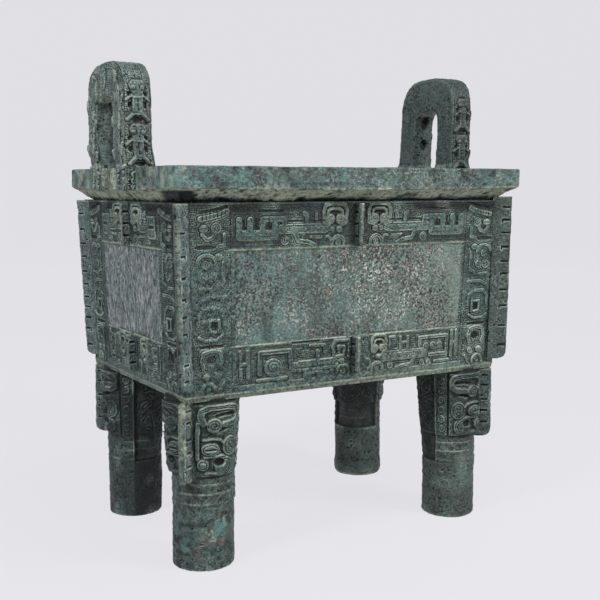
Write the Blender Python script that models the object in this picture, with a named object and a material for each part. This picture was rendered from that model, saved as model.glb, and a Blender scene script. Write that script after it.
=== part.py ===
"""Rectangular bronze cauldron on four round legs, with two upright ears, cast as one piece.

Metres, +Z up. The origin is on the ground under the middle of the cauldron. The long sides face
-Y and +Y, and the ears stand on the short sides at -X and +X.
"""

import bmesh
import bpy
from math import atan2, cos, degrees, hypot, pi, radians, sin, sqrt

# Body
BODY_LENGTH = 1.044  # over the ornamented walls at their top
BODY_WIDTH = 0.7208
BODY_HEIGHT = 0.5041  # underside to the top of the ornamented walls
WALL_TAPER = 0.0205  # how far each wall leans in from its top to its foot
WALL_THICKNESS = 0.030
FLOOR_THICKNESS = 0.030
BASE_BEVEL_IN = 0.006
BASE_BEVEL_HEIGHT = 0.014

# Neck and lip
NECK_STEP = 0.022  # the neck stands back from the wall's top edge
NECK_HEIGHT = 0.0065
LIP_REACH_END = 0.028  # how far the lip stands out over the walls at the short sides
LIP_REACH_SIDE = 0.0346  # the same at the long sides
LIP_RISE = 0.030  # how far the lip's underside climbs from the neck to its edge
LIP_FACE = 0.0555  # height of the lip's outer face
LIP_BOW = 0.006  # how far the face's lower edge hangs lower at mid side
LIP_STEPS = (4, 2)  # along a long side and along a short one

# Legs
LEG_HEIGHT = 0.4475
LEG_RADIUS = 0.0777
LEG_EDGE_GAP = 0.0128  # from the body's foot edge in to the leg's skin
LEG_SIDES = 12
LEG_EMBED = 0.014  # how far a leg runs up into the floor
LEG_FLARE = 0.0085  # how much wider a leg gets inwards, from the mask's foot to its top
MASK_HEIGHT = 0.1955  # the mask's thicker ground, down from the leg's top
MASK_GROUND_LOW = 0.0078  # its thickness on the leg at its foot
MASK_GROUND_TOP = 0.0188  # and at its top
RING_COUNT = 3
RING_GAP = 0.0270  # from the mask's foot down to the highest ring
RING_PITCH = 0.0255
RING_PROUD = 0.0038

# Leg flanges
LEG_FLANGE_PROUD = 0.030  # beyond the mask's ground at the leg's top
LEG_FLANGE_THICKNESS = (0.044, 0.018)  # at its root and along its outer edge
LEG_FLANGE_DROP = 0.012  # how far it hangs below the mask's ground
LEG_FLANGE_SLITS = 3

# Corner flanges of the body
FLANGE_REACH = 0.0236  # beyond the wall's corner, along the diagonal
FLANGE_THICKNESS = (0.054, 0.015)
FLANGE_ROOT = 0.030  # how far it runs back into the corner
FLANGE_FOOT_GAP = 0.0421  # the height of its outer foot above the body's underside
FLANGE_TOP_GAP = 0.003
FLANGE_SLITS = 9
FLANGE_LEAN = (1.0, 0.3, 1.0, 1.0)  # share of the walls' lean, by corner

# Foot of both kinds of flange, and the slits in their flanks
FLANGE_FOOT_SLOPE = 0.024
SLIT_HEIGHT = 0.008
SLIT_DEPTH = 0.007
SLIT_LENGTH = 0.026
SLIT_BORDER = 0.007  # uncut metal left along the flange's outer edge
SLIT_END_GAP = 0.022  # from a flange's top or foot to its nearest slit
SLIT_OVERSHOOT = 0.004

# Centre flanges of the bands
CENTRE_FLANGE_WIDTH = 0.024
CENTRE_FLANGE_PROUD = 0.022

# Bands, end strips and the plain panel between them
BASE_STRIP = 0.0321
LOWER_BAND_HEIGHT = 0.1027
UPPER_BAND_HEIGHT = 0.1211
BAND_TOP_GAP = 0.005
END_STRIP_WIDTH = 0.1484
PANEL_DEPTH = 0.0025
DRAGON_START = 0.034  # from the middle of the wall to a dragon's head
DRAGON_END_GAP = 0.016
FACE_COUNT = 4
FACE_COUNT_PLAINER = 2
FACE_LOW_GAP = 0.0501
FACE_TOP_GAP = 0.082

# Ears
EAR_HEIGHT = 0.2864  # above the lip's top
EAR_WIDTH = 0.285
EAR_THICKNESS = 0.072
EAR_OVERHANG = 0.024  # how far the outer face stands beyond the lip
EAR_POST = 0.086  # width of each upright beside the opening
EAR_CROWN = 0.0964  # height of the arch over the opening
EAR_EDGE = 0.008  # chamfer round the arch
EAR_ARCH_RISE = 0.116
EAR_HOLE_RISE = 0.060
EAR_ARCH_POWER = 3.2  # 2 is an ellipse, larger is squarer
EAR_ARCH_STEPS = 8

# Relief heights, from the surface that carries them
SINK = 0.006  # how deep a raised form is rooted
DEEP_SINK = 0.010  # the same on a curved surface
BODY_RELIEF = 0.0040
HORN_RELIEF = 0.0062
EYE_RELIEF = 0.0078
MASK_RELIEF = 0.0100
MASK_EYE_RELIEF = 0.0140

# Finish
BRONZE = (0.085, 0.112, 0.100, 1.0)
BRONZE_ROUGHNESS = 0.62
BRONZE_METALLIC = 0.55

# Places that follow from the sizes above
UNDERSIDE = LEG_HEIGHT
WALL_TOP = UNDERSIDE + BODY_HEIGHT
LIP_BOTTOM = WALL_TOP + NECK_HEIGHT
LIP_EDGE = LIP_BOTTOM + LIP_RISE
LIP_TOP = LIP_EDGE + LIP_FACE
HALF_X = BODY_LENGTH / 2
HALF_Y = BODY_WIDTH / 2
FOOT_X = HALF_X - WALL_TAPER
FOOT_Y = HALF_Y - WALL_TAPER
NECK_X = HALF_X - NECK_STEP
NECK_Y = HALF_Y - NECK_STEP
LIP_X = HALF_X + LIP_REACH_END
LIP_Y = HALF_Y + LIP_REACH_SIDE
LEG_X = FOOT_X - LEG_EDGE_GAP - LEG_RADIUS
LEG_Y = FOOT_Y - LEG_EDGE_GAP - LEG_RADIUS
MASK_FOOT = LEG_HEIGHT - MASK_HEIGHT
MASK_RADIUS_LOW = LEG_RADIUS + MASK_GROUND_LOW
MASK_RADIUS_TOP = LEG_RADIUS + MASK_GROUND_TOP
LEG_FLANGE_REACH = MASK_RADIUS_TOP + LEG_FLANGE_PROUD
CORNER_LEAN = sqrt(2) * WALL_TAPER / BODY_HEIGHT  # of the walls' corner, for each metre down
LOWER_BAND = (BASE_STRIP, BASE_STRIP + LOWER_BAND_HEIGHT)
UPPER_BAND = (BODY_HEIGHT - UPPER_BAND_HEIGHT, BODY_HEIGHT - BAND_TOP_GAP)
EAR_FACE = LIP_X + EAR_OVERHANG
CORNERS = ((-1, -1), (1, -1), (1, 1), (-1, 1))
SIDES = ("front", "right", "back", "left")
LONG_SIDES = ("front", "back")
PLAINER_SIDES = ("right", "back")


def clear_scene():
    for old in list(bpy.data.objects):
        bpy.data.objects.remove(old, do_unlink=True)


def solid(name, bm):
    """Make an object of closed bodies, with every face turned outwards."""
    bmesh.ops.recalc_face_normals(bm, faces=bm.faces)
    mesh = bpy.data.meshes.new(name)
    bm.to_mesh(mesh)
    bm.free()
    obj = bpy.data.objects.new(name, mesh)
    bpy.context.scene.collection.objects.link(obj)
    return obj


def as_tool(obj):
    obj.hide_render = True
    obj.display_type = "WIRE"
    return obj


def combine(target, tool, operation, overlapping=False):
    modifier = target.modifiers.new(tool.name, "BOOLEAN")
    modifier.operation = operation
    modifier.object = tool
    modifier.solver = "EXACT"
    modifier.use_self = overlapping


def join_rings(bm, low, high):
    for i in range(len(low)):
        j = (i + 1) % len(low)
        bm.faces.new((low[i], low[j], high[j], high[i]))


def add_loft(bm, rings):
    """Join rings of equal length into one closed body, capped at both ends."""
    loops = [[bm.verts.new(p) for p in ring] for ring in rings]
    for low, high in zip(loops, loops[1:]):
        join_rings(bm, low, high)
    bm.faces.new(loops[0][::-1])
    bm.faces.new(loops[-1])


# Forms drawn on a surface, in its own u across and v up

def edge_offsets(path, width):
    """Left and right edges of a stroke that follows path, with mitred bends."""
    left, right = [], []
    for i, (u, v) in enumerate(path):
        before = path[max(i - 1, 0)]
        after = path[min(i + 1, len(path) - 1)]
        along = []
        for (u0, v0), (u1, v1) in ((before, (u, v)), ((u, v), after)):
            run = hypot(u1 - u0, v1 - v0)
            if run > 0:
                along.append(((u1 - u0) / run, (v1 - v0) / run))
        du = sum(a[0] for a in along) / len(along)
        dv = sum(a[1] for a in along) / len(along)
        size = max(hypot(du, dv), 0.45)
        du, dv = du / size ** 2, dv / size ** 2
        left.append((u - dv * width / 2, v + du * width / 2))
        right.append((u + dv * width / 2, v - du * width / 2))
    return left, right


def add_stroke(bm, surface, path, width, proud, sink=SINK):
    """A raised flat band of even width along path, rooted in the surface."""
    left, right = edge_offsets(path, width)
    rings = []
    for (lu, lv), (ru, rv) in zip(left, right):
        rings.append((surface(lu, lv, -sink), surface(ru, rv, -sink),
                      surface(ru, rv, proud), surface(lu, lv, proud)))
    add_loft(bm, rings)


def add_ridge(bm, surface, path, width, proud, sink=SINK):
    """A raised band with a sharp crest along path, as wide as width where it leaves the surface."""
    left, right = edge_offsets(path, width * (proud + sink) / proud)
    rings = []
    for (lu, lv), (u, v), (ru, rv) in zip(left, path, right):
        rings.append((surface(lu, lv, -sink), surface(ru, rv, -sink), surface(u, v, proud)))
    add_loft(bm, rings)


def add_boss(bm, surface, cu, cv, ru, rv, proud, sides=6, sink=SINK):
    """A raised round or oval knob whose side slopes in to a smaller flat top."""
    rings = []
    for share, level in ((1.0, -sink), (0.72, proud)):
        rings.append([surface(cu + ru * share * cos(2 * pi * i / sides),
                              cv + rv * share * sin(2 * pi * i / sides), level)
                      for i in range(sides)])
    add_loft(bm, rings)


# Surfaces that carry ornament

def wall_lean(v):
    """How far a wall stands inside its top edge at height v above the underside."""
    return WALL_TAPER * (1 - v / BODY_HEIGHT)


def wall_surface(side, mirror=1):
    """Map u from a wall's middle, v above the underside and w out of the wall to a point."""
    def place(u, v, w):
        lean = wall_lean(v)
        z = UNDERSIDE + v
        if side in LONG_SIDES:
            across = mirror * u * (HALF_X - lean) / HALF_X
            out = HALF_Y - lean + w
            return (across, -out, z) if side == "front" else (-across, out, z)
        across = mirror * u * (HALF_Y - lean) / HALF_Y
        out = HALF_X - lean + w
        return (out, across, z) if side == "right" else (-out, -across, z)
    return place


def leg_surface(corner, mirror):
    """Map degrees from the outward diagonal, a share of the mask's height and w to a point."""
    sx, sy = corner
    diagonal = degrees(atan2(sy, sx))

    def place(angle, share, w):
        a = radians(diagonal + mirror * angle)
        r = MASK_RADIUS_LOW + (MASK_RADIUS_TOP - MASK_RADIUS_LOW) * share + w
        return (sx * LEG_X + r * cos(a), sy * LEG_Y + r * sin(a), MASK_FOOT + MASK_HEIGHT * share)
    return place


def ear_outer(end):
    """Map u across, v above the lip and w outwards to a point on an ear's outer face."""
    def place(u, v, w):
        return (end * (EAR_FACE + w), u, LIP_TOP + v)
    return place


def ear_flank(end, side):
    """Map u in from the outer face, v above the lip and w to a point on an ear's side."""
    def place(u, v, w):
        return (end * (EAR_FACE - u), side * (EAR_WIDTH / 2 + w), LIP_TOP + v)
    return place


# Main forms

def rectangle(half_x, half_y, z):
    return [(sx * half_x, sy * half_y, z) for sx, sy in CORNERS]


def lip_outline(half_x, half_y, z, bow=0.0):
    """A rectangle with extra points along its sides, hanging lower towards mid side by bow."""
    out = []
    corners = rectangle(half_x, half_y, z)
    for i in range(4):
        (x0, y0, _), (x1, y1, _) = corners[i], corners[(i + 1) % 4]
        steps = LIP_STEPS[i % 2]
        for k in range(steps):
            t = k / steps
            drop = bow * (1 - (2 * t - 1) ** 2)
            out.append((x0 + (x1 - x0) * t, y0 + (y1 - y0) * t, z - drop))
    return out


def join_plain_to_fine(bm, plain, fine):
    """Close a flat ring between a four-point outline and one with extra points on its sides."""
    start = 0
    for i in range(4):
        steps = LIP_STEPS[i % 2]
        run = [fine[(start + k) % len(fine)] for k in range(steps + 1)]
        bm.faces.new([plain[i], plain[(i + 1) % 4]] + run[::-1])
        start += steps


def make_basin():
    """Walls, floor, neck and lip as one open vessel."""
    bm = bmesh.new()

    def ring(points):
        return [bm.verts.new(p) for p in points]

    base_lean = wall_lean(BASE_BEVEL_HEIGHT)
    inner_lean = wall_lean(FLOOR_THICKNESS) + WALL_THICKNESS
    underside = ring(rectangle(FOOT_X - BASE_BEVEL_IN, FOOT_Y - BASE_BEVEL_IN, UNDERSIDE))
    base = ring(rectangle(HALF_X - base_lean, HALF_Y - base_lean, UNDERSIDE + BASE_BEVEL_HEIGHT))
    top = ring(rectangle(HALF_X, HALF_Y, WALL_TOP))
    step = ring(lip_outline(NECK_X, NECK_Y, WALL_TOP))
    neck = ring(lip_outline(NECK_X, NECK_Y, LIP_BOTTOM))
    edge = ring(lip_outline(LIP_X, LIP_Y, LIP_EDGE, LIP_BOW))
    rim = ring(lip_outline(LIP_X, LIP_Y, LIP_TOP))
    mouth = ring(rectangle(NECK_X - WALL_THICKNESS, NECK_Y - WALL_THICKNESS, LIP_TOP))
    floor = ring(rectangle(HALF_X - inner_lean, HALF_Y - inner_lean, UNDERSIDE + FLOOR_THICKNESS))

    bm.faces.new(underside[::-1])
    join_rings(bm, underside, base)
    join_rings(bm, base, top)
    join_plain_to_fine(bm, top, step)
    join_rings(bm, step, neck)
    join_rings(bm, neck, edge)
    join_rings(bm, edge, rim)
    join_plain_to_fine(bm, mouth, rim)
    join_rings(bm, mouth, floor)
    bm.faces.new(floor)
    return solid("cauldron", bm)


def leg_profile():
    """Radius and height up one leg, from the foot to its root in the floor."""
    profile = [(LEG_RADIUS, 0.0)]
    highest = MASK_FOOT - RING_GAP
    for k in reversed(range(RING_COUNT)):
        z = highest - RING_PITCH * k
        profile += [(LEG_RADIUS, z - RING_PITCH / 2), (LEG_RADIUS + RING_PROUD, z)]
    profile += [(LEG_RADIUS, highest + RING_PITCH / 2), (MASK_RADIUS_LOW, MASK_FOOT),
                (MASK_RADIUS_TOP, LEG_HEIGHT), (MASK_RADIUS_TOP, LEG_HEIGHT + LEG_EMBED)]
    return profile


def add_legs(bm):
    """Four round legs whose inner sides widen a little towards the floor they carry."""
    for sx, sy in CORNERS:
        inwards = atan2(-sy, -sx)
        rings = []
        for r, z in leg_profile():
            share = max(0.0, (z - MASK_FOOT) / MASK_HEIGHT)
            ring = []
            for i in range(LEG_SIDES):
                a = 2 * pi * (i + 0.5) / LEG_SIDES
                reach = r + LEG_FLARE * share * max(0.0, cos(a - inwards)) ** 2
                ring.append((sx * LEG_X + reach * cos(a), sy * LEG_Y + reach * sin(a), z))
            rings.append(ring)
        add_loft(bm, rings)


def diagonal_point(corner, start, along, across, z):
    """A point by its distances along and across a corner's outward diagonal, from start."""
    sx, sy = corner
    return (start[0] + (sx * along - sy * across) / sqrt(2),
            start[1] + (sy * along + sx * across) / sqrt(2), z)


def flange_half(thickness, root, reach, along):
    """Half the thickness of a flange at a distance along, thick at its root and thin outside."""
    at_root, at_edge = thickness
    return (at_root + (at_edge - at_root) * (along - root) / (reach - root)) / 2


def add_flange(bm, corner, start, thickness, root, reach, foot, top, lean):
    """An upright wedge on a corner's diagonal, with its outer foot cut back.

    lean is how far it stands in for each metre below its top.
    """
    outline = [(root, foot), (reach - 0.7 * FLANGE_FOOT_SLOPE, foot + 0.2 * FLANGE_FOOT_SLOPE),
               (reach, foot + FLANGE_FOOT_SLOPE), (reach, top), (root, top)]
    rings = []
    for flank in (-1, 1):
        rings.append([diagonal_point(corner, start, along - lean * (top - z),
                                     flank * flange_half(thickness, root, reach, along), z)
                      for along, z in outline])
    add_loft(bm, rings)


def add_flanges(bm):
    """Corner flanges of the body and of the legs, and the centre flanges of the bands."""
    for (sx, sy), share in zip(CORNERS, FLANGE_LEAN):
        add_flange(bm, (sx, sy), (sx * HALF_X, sy * HALF_Y), FLANGE_THICKNESS, -FLANGE_ROOT,
                   FLANGE_REACH, UNDERSIDE + FLANGE_FOOT_GAP, WALL_TOP - FLANGE_TOP_GAP,
                   CORNER_LEAN * share)
        add_flange(bm, (sx, sy), (sx * LEG_X, sy * LEG_Y), LEG_FLANGE_THICKNESS, LEG_RADIUS / 2,
                   LEG_FLANGE_REACH, MASK_FOOT - LEG_FLANGE_DROP, LEG_HEIGHT + LEG_EMBED / 2, 0.0)
    for side in SIDES:
        place = wall_surface(side)
        for low, high in (LOWER_BAND, UPPER_BAND):
            add_stroke(bm, place, [(0, low), (0, high)], CENTRE_FLANGE_WIDTH, CENTRE_FLANGE_PROUD)


def add_slits(bm, corner, start, thickness, root, reach, foot, top, lean, count):
    """A row of short level V grooves in both flanks of a flange, clear of its outer edge."""
    half_height = SLIT_HEIGHT / 2 * (1 + SLIT_OVERSHOOT / SLIT_DEPTH)
    pitch = (top - foot - 2 * SLIT_END_GAP - FLANGE_FOOT_SLOPE / 2) / (count - 1)
    for k in range(count):
        z = top - SLIT_END_GAP - pitch * k
        shift = lean * (top - z)
        for flank in (-1, 1):
            rings = []
            for along in (reach - SLIT_BORDER - SLIT_LENGTH, reach - SLIT_BORDER):
                half = flange_half(thickness, root, reach, along)
                section = ((half - SLIT_DEPTH, z), (half + SLIT_OVERSHOOT, z - half_height),
                           (half + SLIT_OVERSHOOT, z + half_height))
                rings.append([diagonal_point(corner, start, along - shift, flank * across, level)
                              for across, level in section])
            add_loft(bm, rings)


def make_slits():
    bm = bmesh.new()
    for (sx, sy), share in zip(CORNERS, FLANGE_LEAN):
        add_slits(bm, (sx, sy), (sx * HALF_X, sy * HALF_Y), FLANGE_THICKNESS, -FLANGE_ROOT,
                  FLANGE_REACH, UNDERSIDE + FLANGE_FOOT_GAP, WALL_TOP - FLANGE_TOP_GAP,
                  CORNER_LEAN * share, FLANGE_SLITS)
        add_slits(bm, (sx, sy), (sx * LEG_X, sy * LEG_Y), LEG_FLANGE_THICKNESS, LEG_RADIUS / 2,
                  LEG_FLANGE_REACH, MASK_FOOT - LEG_FLANGE_DROP, LEG_HEIGHT, 0.0, LEG_FLANGE_SLITS)
    return as_tool(solid("slits", bm))


def arch(half_width, spring, top):
    """Points of a squarish arch from its left spring over to its right one."""
    out = []
    for i in range(EAR_ARCH_STEPS + 1):
        c = -cos(pi * i / EAR_ARCH_STEPS)
        s = sqrt(max(0.0, 1 - c * c))
        across = abs(c) ** (2 / EAR_ARCH_POWER) * (1 if c > 0 else -1)
        out.append((half_width * across, spring + (top - spring) * s ** (2 / EAR_ARCH_POWER)))
    return out


def ear_outline(edge):
    """Outline of an ear drawn in by edge all round, as u across and v above the lip."""
    foot = LIP_EDGE - LIP_TOP - LIP_BOW
    half = EAR_WIDTH / 2 - edge
    hole_half = EAR_WIDTH / 2 - EAR_POST + edge / 2
    hole_top = EAR_HEIGHT - EAR_CROWN + edge / 2
    outer = arch(half, EAR_HEIGHT - EAR_ARCH_RISE, EAR_HEIGHT - edge)
    hole = arch(hole_half, hole_top - EAR_HOLE_RISE, hole_top)
    return ([(-half, foot)] + outer + [(half, foot), (hole_half, foot)] + hole[::-1]
            + [(-hole_half, foot)])


def add_ears(bm):
    """Two arched ears on the lip, whose posts run down over its outer face."""
    for end in (-1, 1):
        rings = []
        for depth, edge in ((0, EAR_EDGE), (EAR_EDGE, 0), (EAR_THICKNESS - EAR_EDGE, 0),
                            (EAR_THICKNESS, EAR_EDGE)):
            rings.append([(end * (EAR_FACE - depth), u, LIP_TOP + v) for u, v in ear_outline(edge)])
        add_loft(bm, rings)


def make_limbs():
    """What is joined to the basin: legs, ears and flanges."""
    bm = bmesh.new()
    add_legs(bm)
    add_ears(bm)
    add_flanges(bm)
    return as_tool(solid("limbs", bm))


def make_panels():
    """The plain sunk field in the middle of each wall."""
    bm = bmesh.new()
    for side in SIDES:
        half = (HALF_X if side in LONG_SIDES else HALF_Y) - END_STRIP_WIDTH
        place = wall_surface(side)
        rings = []
        for depth in (-PANEL_DEPTH, SINK):
            rings.append([place(u, v, depth) for u, v in (
                (-half, LOWER_BAND[1]), (half, LOWER_BAND[1]),
                (half, UPPER_BAND[0]), (-half, UPPER_BAND[0]))])
        add_loft(bm, rings)
    return as_tool(solid("panels", bm))


# Raised ornament

def add_dragon(bm, place, inner, outer, band, long_body, plainer):
    """One dragon in a band, its head at inner beside the centre flange, its tail at outer.

    The head is drawn in shares of the band's height, the body in shares of the dragon's length.
    """
    low, high = band
    tall = high - low
    length = outer - inner

    def head(across, up):
        return inner + across * tall, low + up * tall

    def body(across, up):
        return inner + across * length, low + up * tall

    tail = 0.60 if long_body else 0.54
    horn = [head(0.06, 0.63), head(0.12, 0.92), head(0.50, 0.92), head(0.58, 0.63)]
    if not plainer:
        horn = [head(0.20, 0.58)] + horn + [head(0.44, 0.58)]
    add_stroke(bm, place, horn, 0.12 * tall, HORN_RELIEF)
    add_boss(bm, place, *head(0.22, 0.41), 0.11 * tall, 0.10 * tall, EYE_RELIEF, sides=4)
    add_stroke(bm, place, [head(0.38, 0.41), body(tail, 0.41), body(tail, 0.70), body(tail + 0.19, 0.70)],
               0.19 * tall, BODY_RELIEF)
    add_stroke(bm, place, [body(tail + 0.10, 0.26), body(1.0, 0.26), body(1.0, 0.66)],
               0.17 * tall, HORN_RELIEF)
    if plainer:
        return
    add_stroke(bm, place, [head(0.03, 0.04), head(0.12, 0.22), head(0.38, 0.22), head(0.47, 0.04)],
               0.10 * tall, HORN_RELIEF)
    add_stroke(bm, place, [body(0.87, 0.30), body(0.87, 0.64)], 0.13 * tall, BODY_RELIEF)
    if long_body:
        add_stroke(bm, place, [body(0.38, 0.48), body(0.38, 0.76)], 0.11 * tall, HORN_RELIEF)
        add_stroke(bm, place, [body(0.49, 0.35), body(0.44, 0.13), body(0.28, 0.08)],
                   0.10 * tall, HORN_RELIEF)


def add_face(bm, place, middle, low, size, plainer):
    """A small mask in an end strip: a hooked horn over a pair of eyes, and a nose arch."""
    def at(across, up):
        return middle + across * size, low + up * size

    add_ridge(bm, place, [at(-0.62, 0.60), at(0.0, 0.84), at(0.70, 1.02)], 0.26 * size, HORN_RELIEF)
    for across in (-0.34, 0.42):
        add_boss(bm, place, *at(across, 0.30), 0.25 * size, 0.21 * size, EYE_RELIEF, sides=4)
    if not plainer:
        add_ridge(bm, place, [at(-0.42, -0.36), at(0.04, -0.02), at(0.50, -0.36)], 0.24 * size,
                  HORN_RELIEF)


def add_wall_ornament(bm):
    """Dragons in the bands and masks in the end strips; the back and right walls are plainer."""
    for side in SIDES:
        long_body = side in LONG_SIDES
        plainer = side in PLAINER_SIDES
        half = HALF_X if long_body else HALF_Y
        tail_end = half - END_STRIP_WIDTH - DRAGON_END_GAP
        strip_middle = half - 0.54 * END_STRIP_WIDTH
        count = FACE_COUNT_PLAINER if plainer else FACE_COUNT
        pitch = (BODY_HEIGHT - FACE_LOW_GAP - FACE_TOP_GAP) / (count - 1)
        for mirror in (-1, 1):
            place = wall_surface(side, mirror)
            for band in (LOWER_BAND, UPPER_BAND):
                add_dragon(bm, place, DRAGON_START, tail_end, band, long_body, plainer)
            for k in range(count):
                add_face(bm, place, strip_middle, FACE_LOW_GAP + pitch * k, 0.40 * END_STRIP_WIDTH,
                         plainer)


def add_leg_masks(bm):
    """A mask in high relief on each leg, its halves meeting at the leg's flange.

    Places round the leg are in degrees from the flange; heights and sizes are shares of the
    mask's height.
    """
    horn = ((24, 0.72), (30, 0.90), (74, 0.92), (72, 0.78))
    mouth = ((28, 0.19), (50, 0.24), (62, 0.13))
    knobs = ((38, 0.67, 0.092, 0.088, MASK_RELIEF), (33, 0.37, 0.095, 0.090, MASK_EYE_RELIEF),
             (18, 0.15, 0.062, 0.062, MASK_EYE_RELIEF), (66, 0.39, 0.095, 0.128, MASK_RELIEF))
    radius = (MASK_RADIUS_LOW + MASK_RADIUS_TOP) / 2

    def flat(angle):
        return radians(angle) * radius / MASK_HEIGHT

    for corner in CORNERS:
        for mirror in (-1, 1):
            skin = leg_surface(corner, mirror)

            def place(u, v, w):
                return skin(degrees(u * MASK_HEIGHT / radius), v, w)

            add_stroke(bm, place, [(flat(a), v) for a, v in horn], 0.072, MASK_RELIEF, DEEP_SINK)
            add_ridge(bm, place, [(flat(a), v) for a, v in mouth], 0.057, MASK_RELIEF, DEEP_SINK)
            for angle, v, half_width, half_height, proud in knobs:
                add_boss(bm, place, flat(angle), v, half_width, half_height, proud, sink=DEEP_SINK)


def add_ear_ornament(bm):
    """Two facing beasts on each ear's outer face, and stacked fish-like masks down its sides."""
    beast = ((-0.10, 0.05), (0.16, 0.25), (-0.05, 0.46), (0.06, 0.68), (-0.30, 0.84), (-0.82, 0.86))
    post_middle = (EAR_WIDTH - EAR_POST) / 2
    middle = EAR_THICKNESS / 2
    tall = 0.34 * EAR_HEIGHT
    for end in (-1, 1):
        outer = ear_outer(end)
        for side in (-1, 1):
            add_stroke(bm, outer, [(side * (post_middle + across * EAR_POST), up * EAR_HEIGHT)
                                   for across, up in beast], 0.40 * EAR_POST, HORN_RELIEF)
            flank = ear_flank(end, side)
            for low in (0.09 * EAR_HEIGHT, 0.49 * EAR_HEIGHT):
                add_stroke(bm, flank, [(middle, low + 0.17 * tall), (middle, low + tall)],
                           0.28 * EAR_THICKNESS, HORN_RELIEF, DEEP_SINK)
                add_ridge(bm, flank, [(0.14 * EAR_THICKNESS, low), (middle, low + 0.19 * tall),
                                      (0.86 * EAR_THICKNESS, low)], 0.19 * EAR_THICKNESS, HORN_RELIEF)
                for eye in (-1, 1):
                    add_boss(bm, flank, middle + eye * 0.22 * EAR_THICKNESS, low + 0.76 * tall,
                             0.14 * EAR_THICKNESS, 0.12 * EAR_THICKNESS, EYE_RELIEF, sides=4)
        add_boss(bm, outer, 0, EAR_HEIGHT - EAR_CROWN / 2, 0.20 * EAR_CROWN, 0.24 * EAR_CROWN, EYE_RELIEF)


def make_ornament():
    bm = bmesh.new()
    add_wall_ornament(bm)
    add_leg_masks(bm)
    add_ear_ornament(bm)
    return as_tool(solid("ornament", bm))


def bronze():
    material = bpy.data.materials.new("bronze")
    material.use_nodes = True
    shader = material.node_tree.nodes["Principled BSDF"]
    shader.inputs["Base Color"].default_value = BRONZE
    shader.inputs["Roughness"].default_value = BRONZE_ROUGHNESS
    shader.inputs["Metallic"].default_value = BRONZE_METALLIC
    return material


def main():
    clear_scene()
    cauldron = make_basin()
    combine(cauldron, make_panels(), "DIFFERENCE")
    combine(cauldron, make_limbs(), "UNION", overlapping=True)
    combine(cauldron, make_slits(), "DIFFERENCE")
    combine(cauldron, make_ornament(), "UNION", overlapping=True)
    cauldron.data.materials.append(bronze())


main()
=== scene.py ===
"""Looks of the rectangular bronze cauldron: cast relief, worn skin, patina, floor, light and camera.

Metres, +Z up, in the CAD part's frame. On a wall, u runs across from the wall's middle and v up
from the body's underside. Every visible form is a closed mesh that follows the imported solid.
"""

from math import atan2, ceil, cos, pi, radians, sin, sqrt

import bpy
import numpy as np
from mathutils import Matrix, Vector


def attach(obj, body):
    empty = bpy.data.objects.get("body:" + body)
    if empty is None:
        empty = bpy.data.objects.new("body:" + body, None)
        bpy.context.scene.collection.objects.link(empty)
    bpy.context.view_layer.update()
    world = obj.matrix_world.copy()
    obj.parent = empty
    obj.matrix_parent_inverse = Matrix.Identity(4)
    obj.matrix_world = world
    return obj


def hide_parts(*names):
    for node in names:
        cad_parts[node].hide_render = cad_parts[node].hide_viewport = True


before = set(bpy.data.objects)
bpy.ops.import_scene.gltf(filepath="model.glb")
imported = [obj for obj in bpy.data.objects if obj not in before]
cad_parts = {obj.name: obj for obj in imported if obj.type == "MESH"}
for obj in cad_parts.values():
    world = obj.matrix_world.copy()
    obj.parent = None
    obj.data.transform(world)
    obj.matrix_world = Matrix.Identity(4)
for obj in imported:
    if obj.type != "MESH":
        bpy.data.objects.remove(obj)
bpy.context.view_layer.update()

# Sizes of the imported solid
HALF_X, HALF_Y = 0.522, 0.3604
BODY_HEIGHT = 0.5041
WALL_TAPER = 0.0205
UNDERSIDE = 0.4475
WALL_TOP = UNDERSIDE + BODY_HEIGHT
BASE_BEVEL_IN, BASE_BEVEL_HEIGHT = 0.006, 0.014
WALL_THICKNESS = FLOOR_THICKNESS = 0.03
NECK_X, NECK_Y = HALF_X - 0.022, HALF_Y - 0.022
MOUTH_X, MOUTH_Y = NECK_X - WALL_THICKNESS, NECK_Y - WALL_THICKNESS
LIP_BOTTOM = WALL_TOP + 0.0065
LIP_EDGE = LIP_BOTTOM + 0.03
LIP_TOP = LIP_EDGE + 0.0555
LIP_X, LIP_Y = 0.55, 0.395
LIP_BOW = 0.006
LEG_X, LEG_Y = 0.411, 0.2494
LEG_RADIUS = 0.0777
MASK_FOOT = 0.252
INNER_FOOT = 0.166
LEG_JOINT = 0.4385
MASK_RADIUS = (0.0855, 0.0965)
RINGS = (0.174, 0.1995, 0.225)
RING_PROUD = 0.001
END_STRIP = 0.1484
LOWER_BAND = (0.0321, 0.1348)
UPPER_BAND = (BODY_HEIGHT - 0.1211, BODY_HEIGHT - 0.005)
PANEL_DEPTH = 0.0025
RECAST = (-0.365, 0.4)  # the front is recast to the left of this u and below this v
EAR_HEIGHT = 0.2864
EAR_HALF = 0.1425
EAR_POST = 0.086
EAR_CROWN = 0.0964
EAR_RISE = 0.116
EAR_POWER = 3.2
EAR_THICKNESS = 0.072
EAR_FACE = LIP_X + 0.024
FLANGE_ROOT, FLANGE_REACH, FLANGE_THICKNESS = -0.03, 0.0236, (0.054, 0.015)
LEG_FLANGE_ROOT, LEG_FLANGE_REACH, LEG_FLANGE_THICKNESS = 0.045, 0.1265, (0.042, 0.018)
CORNER_LEAN = sqrt(2) * WALL_TAPER / BODY_HEIGHT
CORNERS = {"front_left": (-1, -1), "front_right": (1, -1), "back_right": (1, 1), "back_left": (-1, 1)}

# Grid pitch of each surface: finest where the photograph looks closest
WALL_PITCH = {"front": 0.002, "left": 0.0024, "right": 0.0036, "back": 0.004}
LEG_PITCH = {"front_left": 0.0023, "front_right": 0.0026, "back_left": 0.0031, "back_right": 0.0046}
EAR_PITCH = {"left": 0.0024, "right": 0.0028}

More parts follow.
